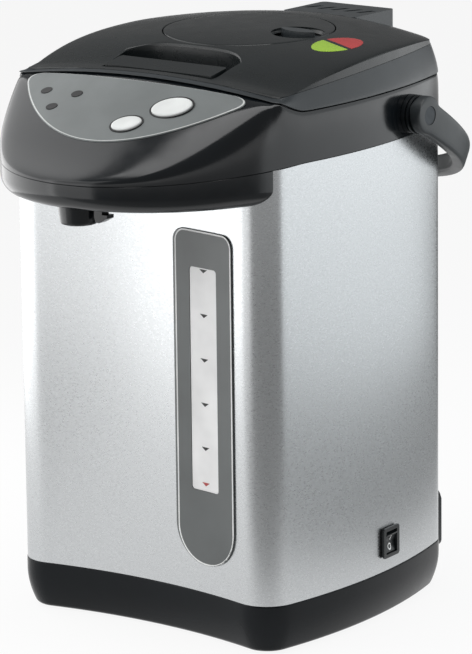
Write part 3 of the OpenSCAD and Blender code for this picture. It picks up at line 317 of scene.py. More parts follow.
def edge_arc(k, inset, steps):
    centre, radius, sense = EDGES[k]
    return arc(centre, radius - sense * inset, heading(FILLETS[k] - centre),
               heading(FILLETS[(k + 1) % 4] - centre), steps)


def body_outline(inset):
    """The body's plan, drawn in by inset."""
    ring = []
    for k in range(4):
        ring += fillet_arc(k, inset) + edge_arc(k, inset, EDGE_STEPS[k])[1:-1]
    return ring


FRONT_LINE = body_outline(0)[:2 * CORNER_STEPS + EDGE_STEPS[0] + 1]

# Head plan: the body's sides and back with a nose in front, from the left join

# How far the head stands outside the steel, and where its nose leaves the body's sides
PROUD, JOIN_Y = 0.4, -60.0
NOSE_STEPS, SIDE_STEPS, REAR_STEPS = 42, 24, 20
# The nose's reach, and the lengths of its curve's handles at the join and at the tip
NOSE_REACH, NOSE_PULL, NOSE_FLAT = 157.0, 44.1, 55.1
RIGHT, LEFT = EDGES[1], EDGES[3]
JOIN_A = math.asin((JOIN_Y - RIGHT[0].y) / RIGHT[1])


def nose_at(t, inset):
    """A point of the nose's right half, from the join to the tip."""
    start = RIGHT[0] + (RIGHT[1] - inset + PROUD) * Vector((math.cos(JOIN_A), math.sin(JOIN_A)))
    tip = Vector((0, -NOSE_REACH + inset))
    pull = NOSE_PULL * Vector((math.sin(JOIN_A), -math.cos(JOIN_A)))
    return bezier(start, start + pull, tip + Vector((NOSE_FLAT, 0)), tip, t)


def flip(p):
    return Vector((-p.x, p.y))


def head_ring(inset):
    """The head's plan, drawn in by inset."""
    d = inset - PROUD
    n = NOSE_STEPS
    return ([flip(nose_at(i / n, inset)) for i in range(n + 1)]
            + [nose_at(i / n, inset) for i in range(n - 1, -1, -1)]
            + arc(RIGHT[0], RIGHT[1] - d, JOIN_A, heading(FILLETS[2] - RIGHT[0]), SIDE_STEPS)[1:]
            + fillet_arc(2, d)[1:] + edge_arc(2, d, REAR_STEPS)[1:] + fillet_arc(3, d)[1:]
            + arc(LEFT[0], LEFT[1] - d, heading(FILLETS[3] - LEFT[0]), math.pi - JOIN_A,
                  SIDE_STEPS)[1:-1])


# Lid plan: the head's, with a bulged front line instead of the nose

# The step of the nose at which the lid's front corner stands, and the corner's place from there
LID_CORNER, CORNER_CUT = NOSE_STEPS // 7, Vector((-3.4, 3.86))
LIP, WALL, FRONT_BULGE = 1.6, 2.4, 5.4
SHOULDER = nose_at(LID_CORNER / NOSE_STEPS, LIP)
LID_CORNER_P = SHOULDER + CORNER_CUT


def on_nose(i):
    return LID_CORNER < i < 2 * NOSE_STEPS - LID_CORNER


def at_corner(i):
    return i in (LID_CORNER, 2 * NOSE_STEPS - LID_CORNER)


def bulged_y(x, corner):
    return corner.y - FRONT_BULGE * (1 - (x / corner.x) ** 2)


def lid_line_y(x):
    return bulged_y(x, LID_CORNER_P)


def lid_ring(inset):
    """The lid's plan, with the same count of points as the head's."""
    side, line = head_ring(inset), head_ring(LIP)
    rest = LID_CORNER_P.x / SHOULDER.x
    k = (nose_at(LID_CORNER / NOSE_STEPS, inset) + CORNER_CUT).x / SHOULDER.x
    ring = []
    for i, (p, q) in enumerate(zip(side, line)):
        if on_nose(i) or at_corner(i):
            ring.append(Vector((q.x * k, lid_line_y(q.x * rest) + inset - LIP)))
        else:
            ring.append(Vector((p.x, max(p.y, LID_CORNER_P.y + inset - LIP))))
    return ring


LID_LINE = lid_ring(LIP)

# Heights of the head and the lid

SEAM_SIDE_Z, SEAM_FALL = 277.7, 0.065
# The lid's edge: along the sides, at the front's middle, and its drop to the front corners
RIM_Z, LID_FRONT_Z, CORNER_DROP = 305.6, 319.2, 7.2
# Where that edge starts to rise from the sides to the front, and the power it rises with
RAMP_Y, RAMP_POWER = -57.0, 1.6
# The crease between the lid's band and the dome: over the front edge, and along the sides
CREASE_UP, CREASE_CORNER, CREASE_Z, CREASE_BOW, CREASE_BACK = 1.6, 0.5, 322.8, 0.00034, 85


def seam_z(y):
    """Height of the seam under the head; it falls along the nose."""
    return SEAM_SIDE_Z + SEAM_FALL * min(0.0, y - JOIN_Y)


def gap_z(i):
    """Height of the gap between the housing and the lid at a point of the lid's line."""
    p = LID_LINE[i]
    if on_nose(i):
        return LID_FRONT_Z - CORNER_DROP * (p.x / LID_CORNER_P.x) ** 2
    rise = max(0.0, (RAMP_Y - p.y) / (RAMP_Y - LID_CORNER_P.y))
    return RIM_Z + (LID_FRONT_Z - CORNER_DROP - RIM_Z) * rise ** RAMP_POWER


def crease_z(i):
    p = LID_LINE[i]
    if on_nose(i):
        return gap_z(i) + CREASE_UP + CREASE_CORNER * (p.x / LID_CORNER_P.x) ** 2
    return CREASE_Z - CREASE_BOW * max(0.0, CREASE_BACK - p.y) ** 2


DOME_Z, DOME_PEAK_Y = 335.0, 59.4
# The dome's fall to the front and its power, its fall behind the peak, and its least height
FRONT_FALL, FRONT_POWER, REAR_FALL, DOME_OVER_EDGE = 23.2, 3.4, 0.0023, 1.3
# The dome's fall at this distance to the side, and what is added to it towards the rear
SIDE_X, SIDE_FALL, SIDE_MORE, MORE_FROM, MORE_OVER = 88, 5.35, 4, 20, 60


def crown(p):
    """Height of the dome over a plan point."""
    ahead, behind = max(0.0, DOME_PEAK_Y - p.y), max(0.0, p.y - DOME_PEAK_Y)
    span = DOME_PEAK_Y - lid_line_y(0)
    swell = DOME_Z - FRONT_FALL * (ahead / span) ** FRONT_POWER - REAR_FALL * behind * behind
    fall = SIDE_FALL + SIDE_MORE * (max(0.0, p.y - MORE_FROM) / MORE_OVER) ** 2
    return soft_max(swell, LID_FRONT_Z + DOME_OVER_EDGE, 1.5) - (p.x / SIDE_X) ** 2 * fall


def crown_point(p, up):
    return Vector((p.x, p.y, crown(p) + up))


def crown_ring(points, up):
    """Plan points at a height up over the dome."""
    return [crown_point(p, up) for p in points]


# The nose's slope: its height and fall at the lid, and the run after which it flattens
PANEL_Z, PANEL_FALL, FLATTEN_FROM, FLATTEN = 320.2, 0.651, 45, 0.005
# How its sideways drop fades along the slope
DROP_FADE, LEAST_DROP = 0.08, 2.0
EDGE_POWER = 4
NOSE_LINE = head_ring(0)[:2 * NOSE_STEPS + 1]


def slope_z(p):
    """Height of the sloped top of the nose over a point, before its edge is rounded."""
    d = bulged_y(p.x, SHOULDER) - p.y
    edge = LID_FRONT_Z - CORNER_DROP * (p.x / LID_CORNER_P.x) ** 2
    drop = max(LEAST_DROP, CORNER_DROP - DROP_FADE * max(0.0, d)) * (p.x / SHOULDER.x) ** 2
    flatter = FLATTEN * max(0.0, d - FLATTEN_FROM) ** 2
    return soft_min(edge, PANEL_Z - drop - PANEL_FALL * d + flatter, 1)


def nose_z(p):
    """Height of the nose over a point, with its rounded edge."""
    rim_y = lookup(p.x, NOSE_LINE)
    s = (p.y - rim_y) / (lid_line_y(p.x) - rim_y)
    base = seam_z(rim_y)
    return base + (slope_z(p) - base) * pillow(s, EDGE_POWER)


# Mesh pieces

# Edges sharper than this many degrees stay sharp
SHARP_DEG = 34


def lift(points, z):
    """Plan points at one height."""
    return [Vector((p.x, p.y, z)) for p in points]


def raised(points, height):
    """Plan points at the height that a function gives for each."""
    return [Vector((p.x, p.y, height(p))) for p in points]


def add_object(name, data):
    made = bpy.data.objects.new(name, data)
    bpy.context.scene.collection.objects.link(made)
    return made


def build(name, points, faces, painted):
    """A mesh object in metres; painted faces take the second material."""
    mesh = bpy.data.meshes.new(name)
    mesh.from_pydata([(p.x * MM, (p.y + FRAME_SHIFT) * MM, p.z * MM) for p in points], [], faces)
    for index in painted:
        mesh.polygons[index].material_index = 1
    mesh.validate()
    return add_object(name, mesh)


def band(low, high, count):
    """Faces between two rings of count points, which start at low and high."""
    return [(low + i, low + (i + 1) % count, high + (i + 1) % count, high + i) for i in range(count)]


def skin(name, rings, bottom=None, top=None, painted=()):
    """A closed skin over rings of points; painted bands take the second material."""
    count = len(rings[0])
    points = [p for ring in rings for p in ring]
    faces = []
    for k in range(len(rings) - 1):
        faces += band(k * count, (k + 1) * count, count)
    last = (len(rings) - 1) * count
    for start, centre, reverse in ((0, bottom, True), (last, top, False)):
        if centre is None:
            cap = list(range(start, start + count))
            faces.append(tuple(reversed(cap)) if reverse else tuple(cap))
            continue
        points.append(centre)
        hub = len(points) - 1
        for i in range(count):
            a, b = start + i, start + (i + 1) % count
            faces.append((hub, b, a) if reverse else (hub, a, b))
    return build(name, points, faces, [k * count + i for k in painted for i in range(count)])


def loop_skin(name, rings, painted=()):
    """A skin over rings that close on themselves, like a tyre."""
    count = len(rings[0])
    faces = []
    for k in range(len(rings)):
        faces += band(k * count, (k + 1) % len(rings) * count, count)
    return build(name, [p for ring in rings for p in ring], faces,
                 [k * count + i for k in painted for i in range(count)])


def prism(name, outline, low, high):
    """An upright solid over an outline."""
    return skin(name, [lift(outline, low), lift(outline, high)])


def block(name, x0, x1, y0, y1, z0, z1):
    return prism(name, [Vector(p) for p in ((x0, y0), (x1, y0), (x1, y1), (x0, y1))], z0, z1)


def combine(made, other, operation):
    """Cuts or joins one mesh with another, which is then removed."""
    modifier = made.modifiers.new("combine", "BOOLEAN")
    modifier.operation = operation
    modifier.solver = "EXACT"
    modifier.object = other
    depsgraph = bpy.context.evaluated_depsgraph_get()
    mesh = bpy.data.meshes.new_from_object(made.evaluated_get(depsgraph))
    made.modifiers.clear()
    made.data = mesh
    bpy.data.objects.remove(other)


def cut(made, other):
    combine(made, other, "DIFFERENCE")


def finish_piece(made, node, finish=None, second=None):
    """Gives a piece its finish, by default the one of a CAD node's slot, and smooth shading, and hangs
    it on that node's body.
    """
    part = PARTS[node]
    made.data.materials.append(FINISHES[finish or part["material_slot"]])
    if second:
        made.data.materials.append(FINISHES[second])
    for face in made.data.polygons:
        face.use_smooth = True
    made.data.set_sharp_from_angle(angle=math.radians(SHARP_DEG))
    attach(made, BODY_OF[node])
    return made


# Shells that stand for CAD nodes

POT_C = Vector((0, 12.0))
# The base's top, how far it is drawn in at the foot, and up to which height
BASE_TOP, BASE_INSET, BASE_ROUND = 28.9, 6.1, 22
BASE_HEIGHTS = (1.2, 1.5, 1.9, 2.4, 3, 4, 5, 6.5, 8, 10, 12, 14, 16, 18, 20, 22, 25, 28)
# Thickness of the steel
SHEET = 0.8
INLET_X, INLET_Z, INLET_HALF = 62.0, 38.0, 12.5
SWITCH_AT, SWITCH_TURN = Vector((99.1, 15.3, 45.8)), math.radians(4.7)
SWITCH_HALF_W, SWITCH_HALF_H = 7.4, 7.9


def superellipse(steps, power):
    """(run, rise) from a rim to a level top, closer together near the rim."""
    pairs = []
    for i in range(steps + 1):
        t = math.pi / 2 * (i / steps) ** 1.5
        pairs.append((1 - math.cos(t) ** (2 / power), math.sin(t) ** (2 / power)))
    return pairs


def round_pot(radius):
    """A circle round the pot, with the same count of points as the lid's plan."""
    return [POT_C + radius * (p - POT_C).normalized() for p in LID_LINE]


def inlet_block():
    """The space of the mains inlet in the back."""
    return block("cut", INLET_X - INLET_HALF, INLET_X + INLET_HALF, 60, 110,
                 INLET_Z - INLET_HALF, INLET_Z + INLET_HALF)


def make_base():
    low = BASE_HEIGHTS[0]

    def inset_at(z):
        drawn_in = BASE_INSET * max(0.0, 1 - z / BASE_ROUND) ** 2 - 0.3
        return drawn_in + 0.9 * max(0.0, 1 - (z - low) / 1.6) ** 2

    profile = [(12, 4.5), (12, low)] + [(inset_at(z), z) for z in BASE_HEIGHTS]
    profile += [(-0.3, BASE_TOP - 0.7), (-0.15, BASE_TOP - 0.2), (0.2, BASE_TOP), (1.1, BASE_TOP),
                (1.1, BASE_TOP + 4), (2.8, BASE_TOP + 4), (2.8, 14), (9.5, 7)]
    made = skin("base_moulding_shell", [lift(body_outline(inset), z) for inset, z in profile])
    cut(made, inlet_block())
    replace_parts(finish_piece(made, "base_moulding", "base_black"), "base_moulding")


def make_wrap():
    def edge(inset):
        return raised(body_outline(inset), lambda p: seam_z(p.y) - 0.5)

    low = BASE_TOP + 0.05
    made = loop_skin("steel_wrap_shell", [lift(body_outline(0), low), edge(0), edge(SHEET),
                                          lift(body_outline(SHEET), low)])
    switch = block("cut", -20, 20, -SWITCH_HALF_W, SWITCH_HALF_W, -SWITCH_HALF_H, SWITCH_HALF_H)
    switch.data.transform(Matrix.Translation((SWITCH_AT + Vector((0, FRAME_SHIFT, 0))) * MM)
                          @ Matrix.Rotation(SWITCH_TURN, 4, "Z")
                          @ Matrix.Translation((0, -FRAME_SHIFT * MM, 0)))
    half = WINDOW_W / 2 - 1
    window = block("cut", GAUGE_X - half, GAUGE_X + half, -110, -40, WINDOW_LOW + 1, WINDOW_HIGH - 1)
    hose_notch = block("cut", 22, 46, -100, -60, 261, 300)
    for other in (window, switch, hose_notch, inlet_block()):
        cut(made, other)
    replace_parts(finish_piece(made, "steel_wrap"), "steel_wrap")


# The head's deck round the mouth of the pot, and the upright thickness of the sloped nose
MOUTH_R, DECK_OVER, DECK_UNDER, INSIDE_TOP, NOSE_WALL = 79, 300, 297, 296, 1.25 * WALL


def make_housing():
    outer, top, inner = head_ring(0), lid_ring(LIP), head_ring(WALL)
    mouth = round_pot(MOUTH_R)
    back = [top[i] + WALL * (outer[i] - top[i]).normalized() if on_nose(i) else inner[i]
            for i in range(len(top))]

    def wall(low, high, top_z, run, rise):
        """A ring on the way from one plan to another, and from the seam to a height."""
        ring = []
        for i, (a, b) in enumerate(zip(low, high)):
            p = mix(a, b, run)
            base = seam_z(outer[i].y)
            ring.append(Vector((p.x, p.y, base + (top_z(i, p) - base) * rise)))
        return ring

    def outside_z(i, p):
        return slope_z(p) if on_nose(i) else gap_z(i)

    def inside_z(i, p):
        return slope_z(p) - NOSE_WALL if on_nose(i) else INSIDE_TOP

    rings = [wall(outer, top, outside_z, run, rise) for run, rise in superellipse(22, EDGE_POWER)]
    rings += [lift(top, DECK_OVER), lift(mouth, DECK_OVER), lift(mouth, DECK_UNDER),
              lift(back, DECK_UNDER)]
    rings += [wall(inner, back, inside_z, run, rise)
              for run, rise in reversed(superellipse(10, EDGE_POWER))]
    made = loop_skin("head_housing_shell", rings)
    cut(made, prism("cut", panel_outline(4), 270, 350))
    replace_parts(finish_piece(made, "top_housing"), "top_housing")


# Where the cover starts on the nose's curve, its underside with a round edge, and its back wall
COVER_START, COVER_STEPS, COVER_ACROSS = 0.17, 36, 40
COVER_Z, COVER_R, COVER_BACK = 256.5, 9.0, 2.2
# How far its ends move along the curve for a mm of inset and of thickness, and its gap to the steel
END_BY_INSET, END_BY_THICK, COVER_GAP = 0.0095, 0.012, 0.5
SPOUT_AT, SPOUT_HOLE_R = Vector((0, -137)), 11.9


def cover_ring(inset, thick):
    """The cover's plan, drawn in by inset along the nose and by thick at its back wall."""
    start = COVER_START + END_BY_INSET * inset + END_BY_THICK * thick
    half = [nose_at(mix(start, 1, i / COVER_STEPS), inset) for i in range(COVER_STEPS + 1)]
    across = [half[0].x * math.cos(math.pi * i / COVER_ACROSS) for i in range(COVER_ACROSS + 1)]
    return ([flip(p) for p in half] + half[-2::-1]
            + [Vector((x, lookup(x, FRONT_LINE) - COVER_GAP - thick)) for x in across])


def make_cover():
    def bowl(inset, z, radius, thick):
        turns = [math.radians(a) for a in range(0, 91, 9)]
        return [lift(cover_ring(inset + radius * (1 - math.sin(a)), thick),
                     z + radius * (1 - math.cos(a))) for a in turns]

    def seam(inset, thick, drop):
        return raised(cover_ring(inset, thick), lambda p: seam_z(p.y) - 0.25 - drop)

    outside = bowl(0, COVER_Z, COVER_R, 0)
    inside = bowl(WALL, COVER_Z + WALL, COVER_R - WALL, COVER_BACK)
    rim = [seam(0, 0, 0.3), seam(0.3, 0.1, 0), seam(WALL, COVER_BACK, 0)]
    made = skin("spout_cover_shell", outside + rim + inside[::-1])
    cut(made, prism("cut", disc(SPOUT_AT, SPOUT_HOLE_R, 72), 240, 270))
    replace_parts(finish_piece(made, "spout_cover"), "spout_cover")


# The lid's collar in the pot: outside, bore and foot; and the band's under and upper side
COLLAR_R, COLLAR_BORE, COLLAR_LOW = 76.5, 74.1, 289
BAND_UNDER, BAND_OVER = 302.4, 304.5


def make_lid_band():
    def ring(inset, t):
        return [Vector((p.x, p.y, mix(gap_z(i) + 0.6, crease_z(i), t)))
                for i, p in enumerate(lid_ring(inset))]

    outside, bore = round_pot(COLLAR_R), round_pot(COLLAR_BORE)
    rings = [lift(outside, COLLAR_LOW), lift(outside, BAND_UNDER), lift(lid_ring(4.6), BAND_UNDER),
             ring(3.2, 0), ring(0.45, 0), ring(0.25, 0.02)]
    rings += [ring(0.2 + 4.4 * t ** 1.45, t) for t in (i / 14 for i in range(1, 15))]
    rings += [ring(7, 1), lift(lid_ring(7), BAND_OVER), lift(bore, BAND_OVER),
              lift(bore, COLLAR_LOW + 2)]
    made = skin("lid_band_shell", rings)
    bolt_slot = block("cut", -8.3, 8.3, -90, -70, 304.9, 308.6)
    cut(made, bolt_slot)
    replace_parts(finish_piece(made, "lid_body"), "lid_body")


# The lever's recess: its corners on the right, the middle of its back edge, and its floor
RECESS_FRONT, RECESS_REAR = Vector((39, -67.4)), Vector((40.6, -43))
RECESS_BACK, RECESS_MIDDLE, RECESS_FLOOR = -31.5, -51, 311.0
LEVER_Y = -62.5
# The pump plate's middle, its half width and depth, and the thickness of it and of the dome
PLATE_C, PLATE_A, PLATE_B, DOME_WALL = Vector((0, 18.0)), 51.0, 46.0, 2.4
DOME_C = Vector((0, 5))
# Shares of the way from the dome's rim to its middle, closest at the rim
DOME_STEPS = (0, 0.003, 0.008, 0.015, 0.025, 0.04, 0.06, 0.085, 0.115, 0.15, 0.2, 0.25, 0.31, 0.37,
              0.44, 0.51, 0.58, 0.66, 0.74, 0.82, 0.91)


def recess_outline(grow=0.0):
    """The recess's plan with an arched back edge, widened by grow."""
    half = [RECESS_FRONT]
    for i in range(31):
        share = math.cos(math.radians(3 * i))
        half.append(Vector((RECESS_REAR.x * share, mix(RECESS_BACK, RECESS_REAR.y, share ** 4.5))))
    outline = half + [flip(p) for p in half[-2::-1]]
    return [p + grow * Vector((p.x, 2.2 * (p.y - RECESS_MIDDLE))).normalized() for p in outline]


def plate_outline(grow=0.0, k=1):
    """The pump plate's plan at a share k of its size, widened by grow."""
    return [p + PLATE_C for p in oval(PLATE_A * k + grow, PLATE_B * k + grow, 120)]


def make_dome():
    def ring(inset, k, up):
        points = []
        for i, q in enumerate(lid_ring(inset)):
            p = mix(DOME_C, q, k)
            rim = crease_z(i) + 0.15
            points.append(Vector((p.x, p.y, rim + (crown(p) - rim) * pillow(1 - k, 10) + up)))
        return points

    under = [ring(7.2, k, -DOME_WALL) for k in (0.25, 0.5, 0.72, 0.88, 0.96)]
    over = [ring(4.8, 1 - s, 0) for s in DOME_STEPS]
    made = skin("lid_dome_shell", under + [ring(7.2, 1, 0)] + over,
                crown_point(DOME_C, -DOME_WALL), crown_point(DOME_C, 0))
    wide = recess_outline(1.8)
    combine(made, skin("cup", [lift(wide, RECESS_FLOOR - 1.6), crown_ring(wide, -1.2)]), "UNION")
    # How much each ring of a cut is widened, and its height over the floor or over the dome
    foot = ((-1.2, 0), (-0.35, 0.35), (0, 1.2))
    walls = ((0, -1.4), (0, -1.1), (0.08, -0.7), (0.3, -0.28), (0.65, -0.06), (1.1, 0.05), (1.5, 0.6),
             (1.5, 4))
    recess = [lift(recess_outline(grow), RECESS_FLOOR + up) for grow, up in foot]
    cut(made, skin("cut", recess + [crown_ring(recess_outline(grow), up) for grow, up in walls]))
    rim = ((0.5, -30), (0.5, -0.8), (0.62, -0.3), (0.95, -0.05), (1.3, 0.2), (1.3, 3))
    cut(made, skin("cut", [crown_ring(plate_outline(grow), up) for grow, up in rim]))
    cut(made, block("cut", -10, 10, LEVER_Y - 3.8, LEVER_Y + 4.6, 300, 318))
    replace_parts(finish_piece(made, "lid_cover"), "lid_cover")


DIAL_AT, DIAL_R, DIAL_FLOOR, DIAL_PIN_R = Vector((34.5, 18.5)), 14.0, 328.2, 3.06
SKIRT_Z, STEM_R, STEM_Z = 321.8, 9, 322.55


def make_plate():
    def ring(k, up, inset=0.0):
        return crown_ring(plate_outline(-inset, k), up)

    rings = [ring(k, -DOME_WALL) for k in (0.3, 0.6, 0.94)]
    rings += [lift(plate_outline(-inset), SKIRT_Z) for inset in (2.6, 0)]
    rings += [ring(1, -0.9), ring(1, -0.45, 0.05), ring(1, -0.15, 0.25), ring(1, 0, 0.7)]
    rings += [ring(k, 0) for k in (0.95, 0.9, 0.84, 0.77, 0.7, 0.62, 0.54, 0.46, 0.38, 0.3, 0.22, 0.14,
                                   0.07)]
    made = skin("pump_plate_shell", rings, crown_point(PLATE_C, -DOME_WALL), crown_point(PLATE_C, 0))
    combine(made, prism("stem", disc(PLATE_C, STEM_R, 48), STEM_Z, crown(PLATE_C) - 1), "UNION")
    seat = prism("seat", disc(DIAL_AT, DIAL_R + 1.4, 64), DIAL_FLOOR - 2, DIAL_FLOOR + 2.5)
    combine(made, seat, "UNION")
    hollow = ((0, DIAL_FLOOR), (0, 331.2), (0.25, 331.9), (1.4, 333.2), (1.6, 340))
    cut(made, skin("cut", [lift(disc(DIAL_AT, DIAL_R + grow, 96), z) for grow, z in hollow]))
    cut(made, prism("cut", disc(DIAL_AT, DIAL_PIN_R, 32), 320, 340))
    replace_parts(finish_piece(made, "pump_plate"), "pump_plate")


# Control panel and its buttons

PANEL_C = Vector((0, -104))
PANEL_TIP, PANEL_FRONT, PANEL_BACK, PANEL_BACK_X = Vector((74.5, -90.5)), -129.0, -87.9, 69
PANEL_UNDER, PANEL_OVER, PANEL_ANGLE = 0.12, 0.9, math.atan(PANEL_FALL)
BUTTON_TURN, LENS_TURN = math.radians(20), math.radians(12)
# Middle, half width and half depth of the buttons and lenses, and the gap of a button in its hole
BUTTONS = (("dispense_button", Vector((37.5, -100.5)), 12.1, 7.4),
           ("reboil_button", Vector((17.5, -115.5)), 9.1, 5.6))
LENSES, LENS_A, LENS_B = (Vector((-54, -97.5)), Vector((-30, -100)), Vector((-41, -109))), 3.8, 2.6
HOLE_GAP = 0.25
# How much each ring is wider than the button, and its height: the cap, and the dark ring round it,
# which is painted shade for the gap between button and hole
CAP = ((1.2, -6), (1.2, -4.7), (0, -4.7), (0, 1.0), (-0.12, 1.35), (-0.4, 1.62), (-0.9, 1.8),
       (-1.6, 1.87))
BUTTON_GAP_SHADE = ((0.3, 0.5), (1.15, 0.5), (1.15, 1.0), (0.95, 1.15), (0.5, 1.15), (0.3, 1.0))


def panel_outline(inset):
    """The panel's plan, drawn in towards its centre."""
    front = [Vector((0, PANEL_FRONT)), Vector((36, PANEL_FRONT)), Vector((64, -103)), PANEL_TIP]
    end = [PANEL_TIP, Vector((78.5, -86)), Vector((76.5, -83.2)), Vector((PANEL_BACK_X, -83))]
    half = [bezier(*front, i / 36) for i in range(36)] + [bezier(*end, i / 14) for i in range(14)]
    for i in range(16):
        share = 1 - i / 16
        half.append(Vector((PANEL_BACK_X * share, PANEL_BACK + 4.9 * share ** 2)))
    outline = half + [Vector((0, PANEL_BACK))] + [flip(p) for p in half[:0:-1]]
    return [PANEL_C + (p - PANEL_C) * (1 - inset / 34) for p in outline]


def on_panel(p):
    """Turns what is drawn round the origin to stand on the slope at p, square to it."""
    middle_drop = CORNER_DROP - 2
    tilt = 2 * middle_drop * p.x / LID_CORNER_P.x ** 2
    return (Matrix.Translation(Vector((p.x, p.y, nose_z(p)))) @ Matrix.Rotation(PANEL_ANGLE, 4, "X")
            @ Matrix.Rotation(math.atan(tilt), 4, "Y"))


def standing(rings, p):
    turn = on_panel(p)
    return [[turn @ q for q in ring] for ring in rings]


def make_panel():
    def layer(k, up, inset=0.0):
        plan = [mix(PANEL_C, p, k) for p in panel_outline(inset)]
        return raised(plan, lambda p: nose_z(p) + up)

    rings = [layer(k, PANEL_UNDER) for k in (0.35, 0.7, 1)]
    rings += [layer(1, PANEL_OVER - 0.35), layer(1, PANEL_OVER - 0.08, 0.15)]
    rings += [layer(1, PANEL_OVER, inset) for inset in (0.35, 0.6, 1.2)]
    rings += [layer(k, PANEL_OVER) for k in (0.93, 0.86, 0.78, 0.7, 0.6, 0.5, 0.4, 0.3, 0.2, 0.1)]
    middle = nose_z(PANEL_C)
    # Bands 4 and 5, along the top of the raised rim, take a painted highlight
    made = skin("control_panel_plate", rings, Vector((0, PANEL_C.y, middle + PANEL_UNDER)),
                Vector((0, PANEL_C.y, middle + PANEL_OVER)), painted=(4, 5))
    holes = [(p, oval(a + HOLE_GAP, b + HOLE_GAP, 72, BUTTON_TURN)) for name, p, a, b in BUTTONS]
    holes += [(p, oval(LENS_A, LENS_B, 72, LENS_TURN)) for p in LENSES]
    for p, plan in holes:
        cut(made, skin("cut", standing([lift(plan, -15), lift(plan, 15)], p)))
    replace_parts(finish_piece(made, "control_panel", "console_grey", "panel_line"), "control_panel")


def make_buttons():
    for name, p, a, b in BUTTONS:
        def rings(profile, a=a, b=b):
            return [lift(oval(a + grow, b + grow, 96, BUTTON_TURN), z) for grow, z in profile]

        stem = [lift(oval(2, 2, 96), z) for z in (-8.6, -6)]
        dish = [lift(oval(a * k, b * k, 96, BUTTON_TURN), 1.88 - 0.5 * (0.8 - k))
                for k in (0.78, 0.6, 0.4, 0.2)]
        made = skin(name + "_cap", standing(stem + rings(CAP) + dish, p), None,
                    on_panel(p) @ Vector((0, 0, 1.46)))
        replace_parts(finish_piece(made, name), name)
        # A dark ring round each button: painted shade for the gap round it
        made = loop_skin(name + "_gap_shade", standing(rings(BUTTON_GAP_SHADE), p))
        finish_piece(made, "control_panel", "lens")


# Water gauge

GAUGE_X = 43.8
WINDOW_LOW, WINDOW_HIGH, WINDOW_W = 88.5, 216.5, 21.0
GAUGE_LOW, GAUGE_HIGH, GAUGE_HALF = 45.3, 237.4, 22.8
# How far the plate and the pane stand out of the steel, and the width of the light line on the left
GAUGE_UP, PANE_UP, LINE_W = 1.1, 0.8, 1.3
MARK_TOP, MARK_STEP, MARKS, REFILL_MARK = 214.9, 25.4, 5, 92.8


def rounded(x0, x1, z0, z1, r_low, r_high):
    """Outline in x and z with round corners, always with the same number of points."""
    outline = []
    quarter = math.pi / 2
    corners = [(x0 + r_low, z0 + r_low, r_low, math.pi), (x1 - r_low, z0 + r_low, r_low, -quarter),
               (x1 - r_high, z1 - r_high, r_high, 0), (x0 + r_high, z1 - r_high, r_high, quarter)]
    arcs = [arc(Vector((x, z)), r, start, start + quarter, 14) for x, z, r, start in corners]
    for here, after in zip(arcs, arcs[1:] + arcs[:1]):
        outline += here + [mix(here[-1], after[0], i / 8) for i in range(1, 8)]
    return outline


def on_front(outline, up):
    """Lays an outline on the dished front of the body, up outside the steel."""
    return [Vector((p.x + GAUGE_X, lookup(p.x + GAUGE_X, FRONT_LINE) - up, p.y)) for p in outline]


def make_gauge():
    def plate(inset, left=0.0):
        half = GAUGE_HALF - inset
        return rounded(-half + left, half, GAUGE_LOW + inset, GAUGE_HIGH - inset, half - left - 0.1,
                       7.5 - inset)

    def window(inset):
        half = WINDOW_W / 2 - inset
        return rounded(-half, half, WINDOW_LOW + inset, WINDOW_HIGH - inset, 2, 2)

    face, hole = plate(1.15, LINE_W), window(0)
    rings = [on_front(plate(0), 0.05), on_front(plate(0), 0.85), on_front(plate(0.08), 1.02),
             on_front(plate(0.25), GAUGE_UP), on_front(plate(0.25, LINE_W), GAUGE_UP)]
    rings += [on_front([mix(p, q, i / 10) for p, q in zip(face, hole)], GAUGE_UP) for i in range(11)]
    rings += [on_front(hole, 0.05)]
    made = loop_skin("gauge_panel_plate", rings, painted=(4,))
    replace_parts(finish_piece(made, "gauge_panel", second="white_paint"), "gauge_panel")
    rings = [on_front(window(1.2), -0.7), on_front(window(1.2), 0.08), on_front(window(0.1), 0.08),
             on_front(window(0.1), 0.65), on_front(window(0.25), PANE_UP)]
    rings += [on_front(window(inset), PANE_UP) for inset in (2, 4, 6, 7.6)]
    made = skin("gauge_window_pane", rings)
    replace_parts(finish_piece(made, "gauge_window"), "gauge_window")
    dart = [Vector(p) for p in ((-3, 0.8), (0, -1.3), (3, 0.8))]
    for i in range(MARKS + 1):
        height = REFILL_MARK if i == MARKS else MARK_TOP - MARK_STEP * i
        plan = [p + Vector((0.3, height)) for p in dart]
        made = skin("level_mark_%d" % (i + 1),
                    [on_front(plan, PANE_UP - 0.1), on_front(plan, PANE_UP + 0.06)])
        finish_piece(made, "gauge_window", "red_paint" if i == MARKS else "black_paint")


# Handle

PIVOT = Vector((0, 41, 290))
BAIL_REACH, BAIL_HANG = 105.5, math.radians(30.6)
# Powers of the bail's plan and of its squarish section
BAIL_POWER, SECTION_POWER = 2.6, 0.42
# The grip's thickness and half height, and the depth over which its outer side is rounded
GRIP_T, GRIP_HALF, GRIP_ROUND = 7.5, 5.5, 3
ARM_IN, ARM_OUT, EYE_R = 103.1, 110.2, 11.0
# Radius and start of the pin's bore and of the wider bore for its head
BORES, BORE_END = ((4.06, 95), (5.4, 108.7)), 115


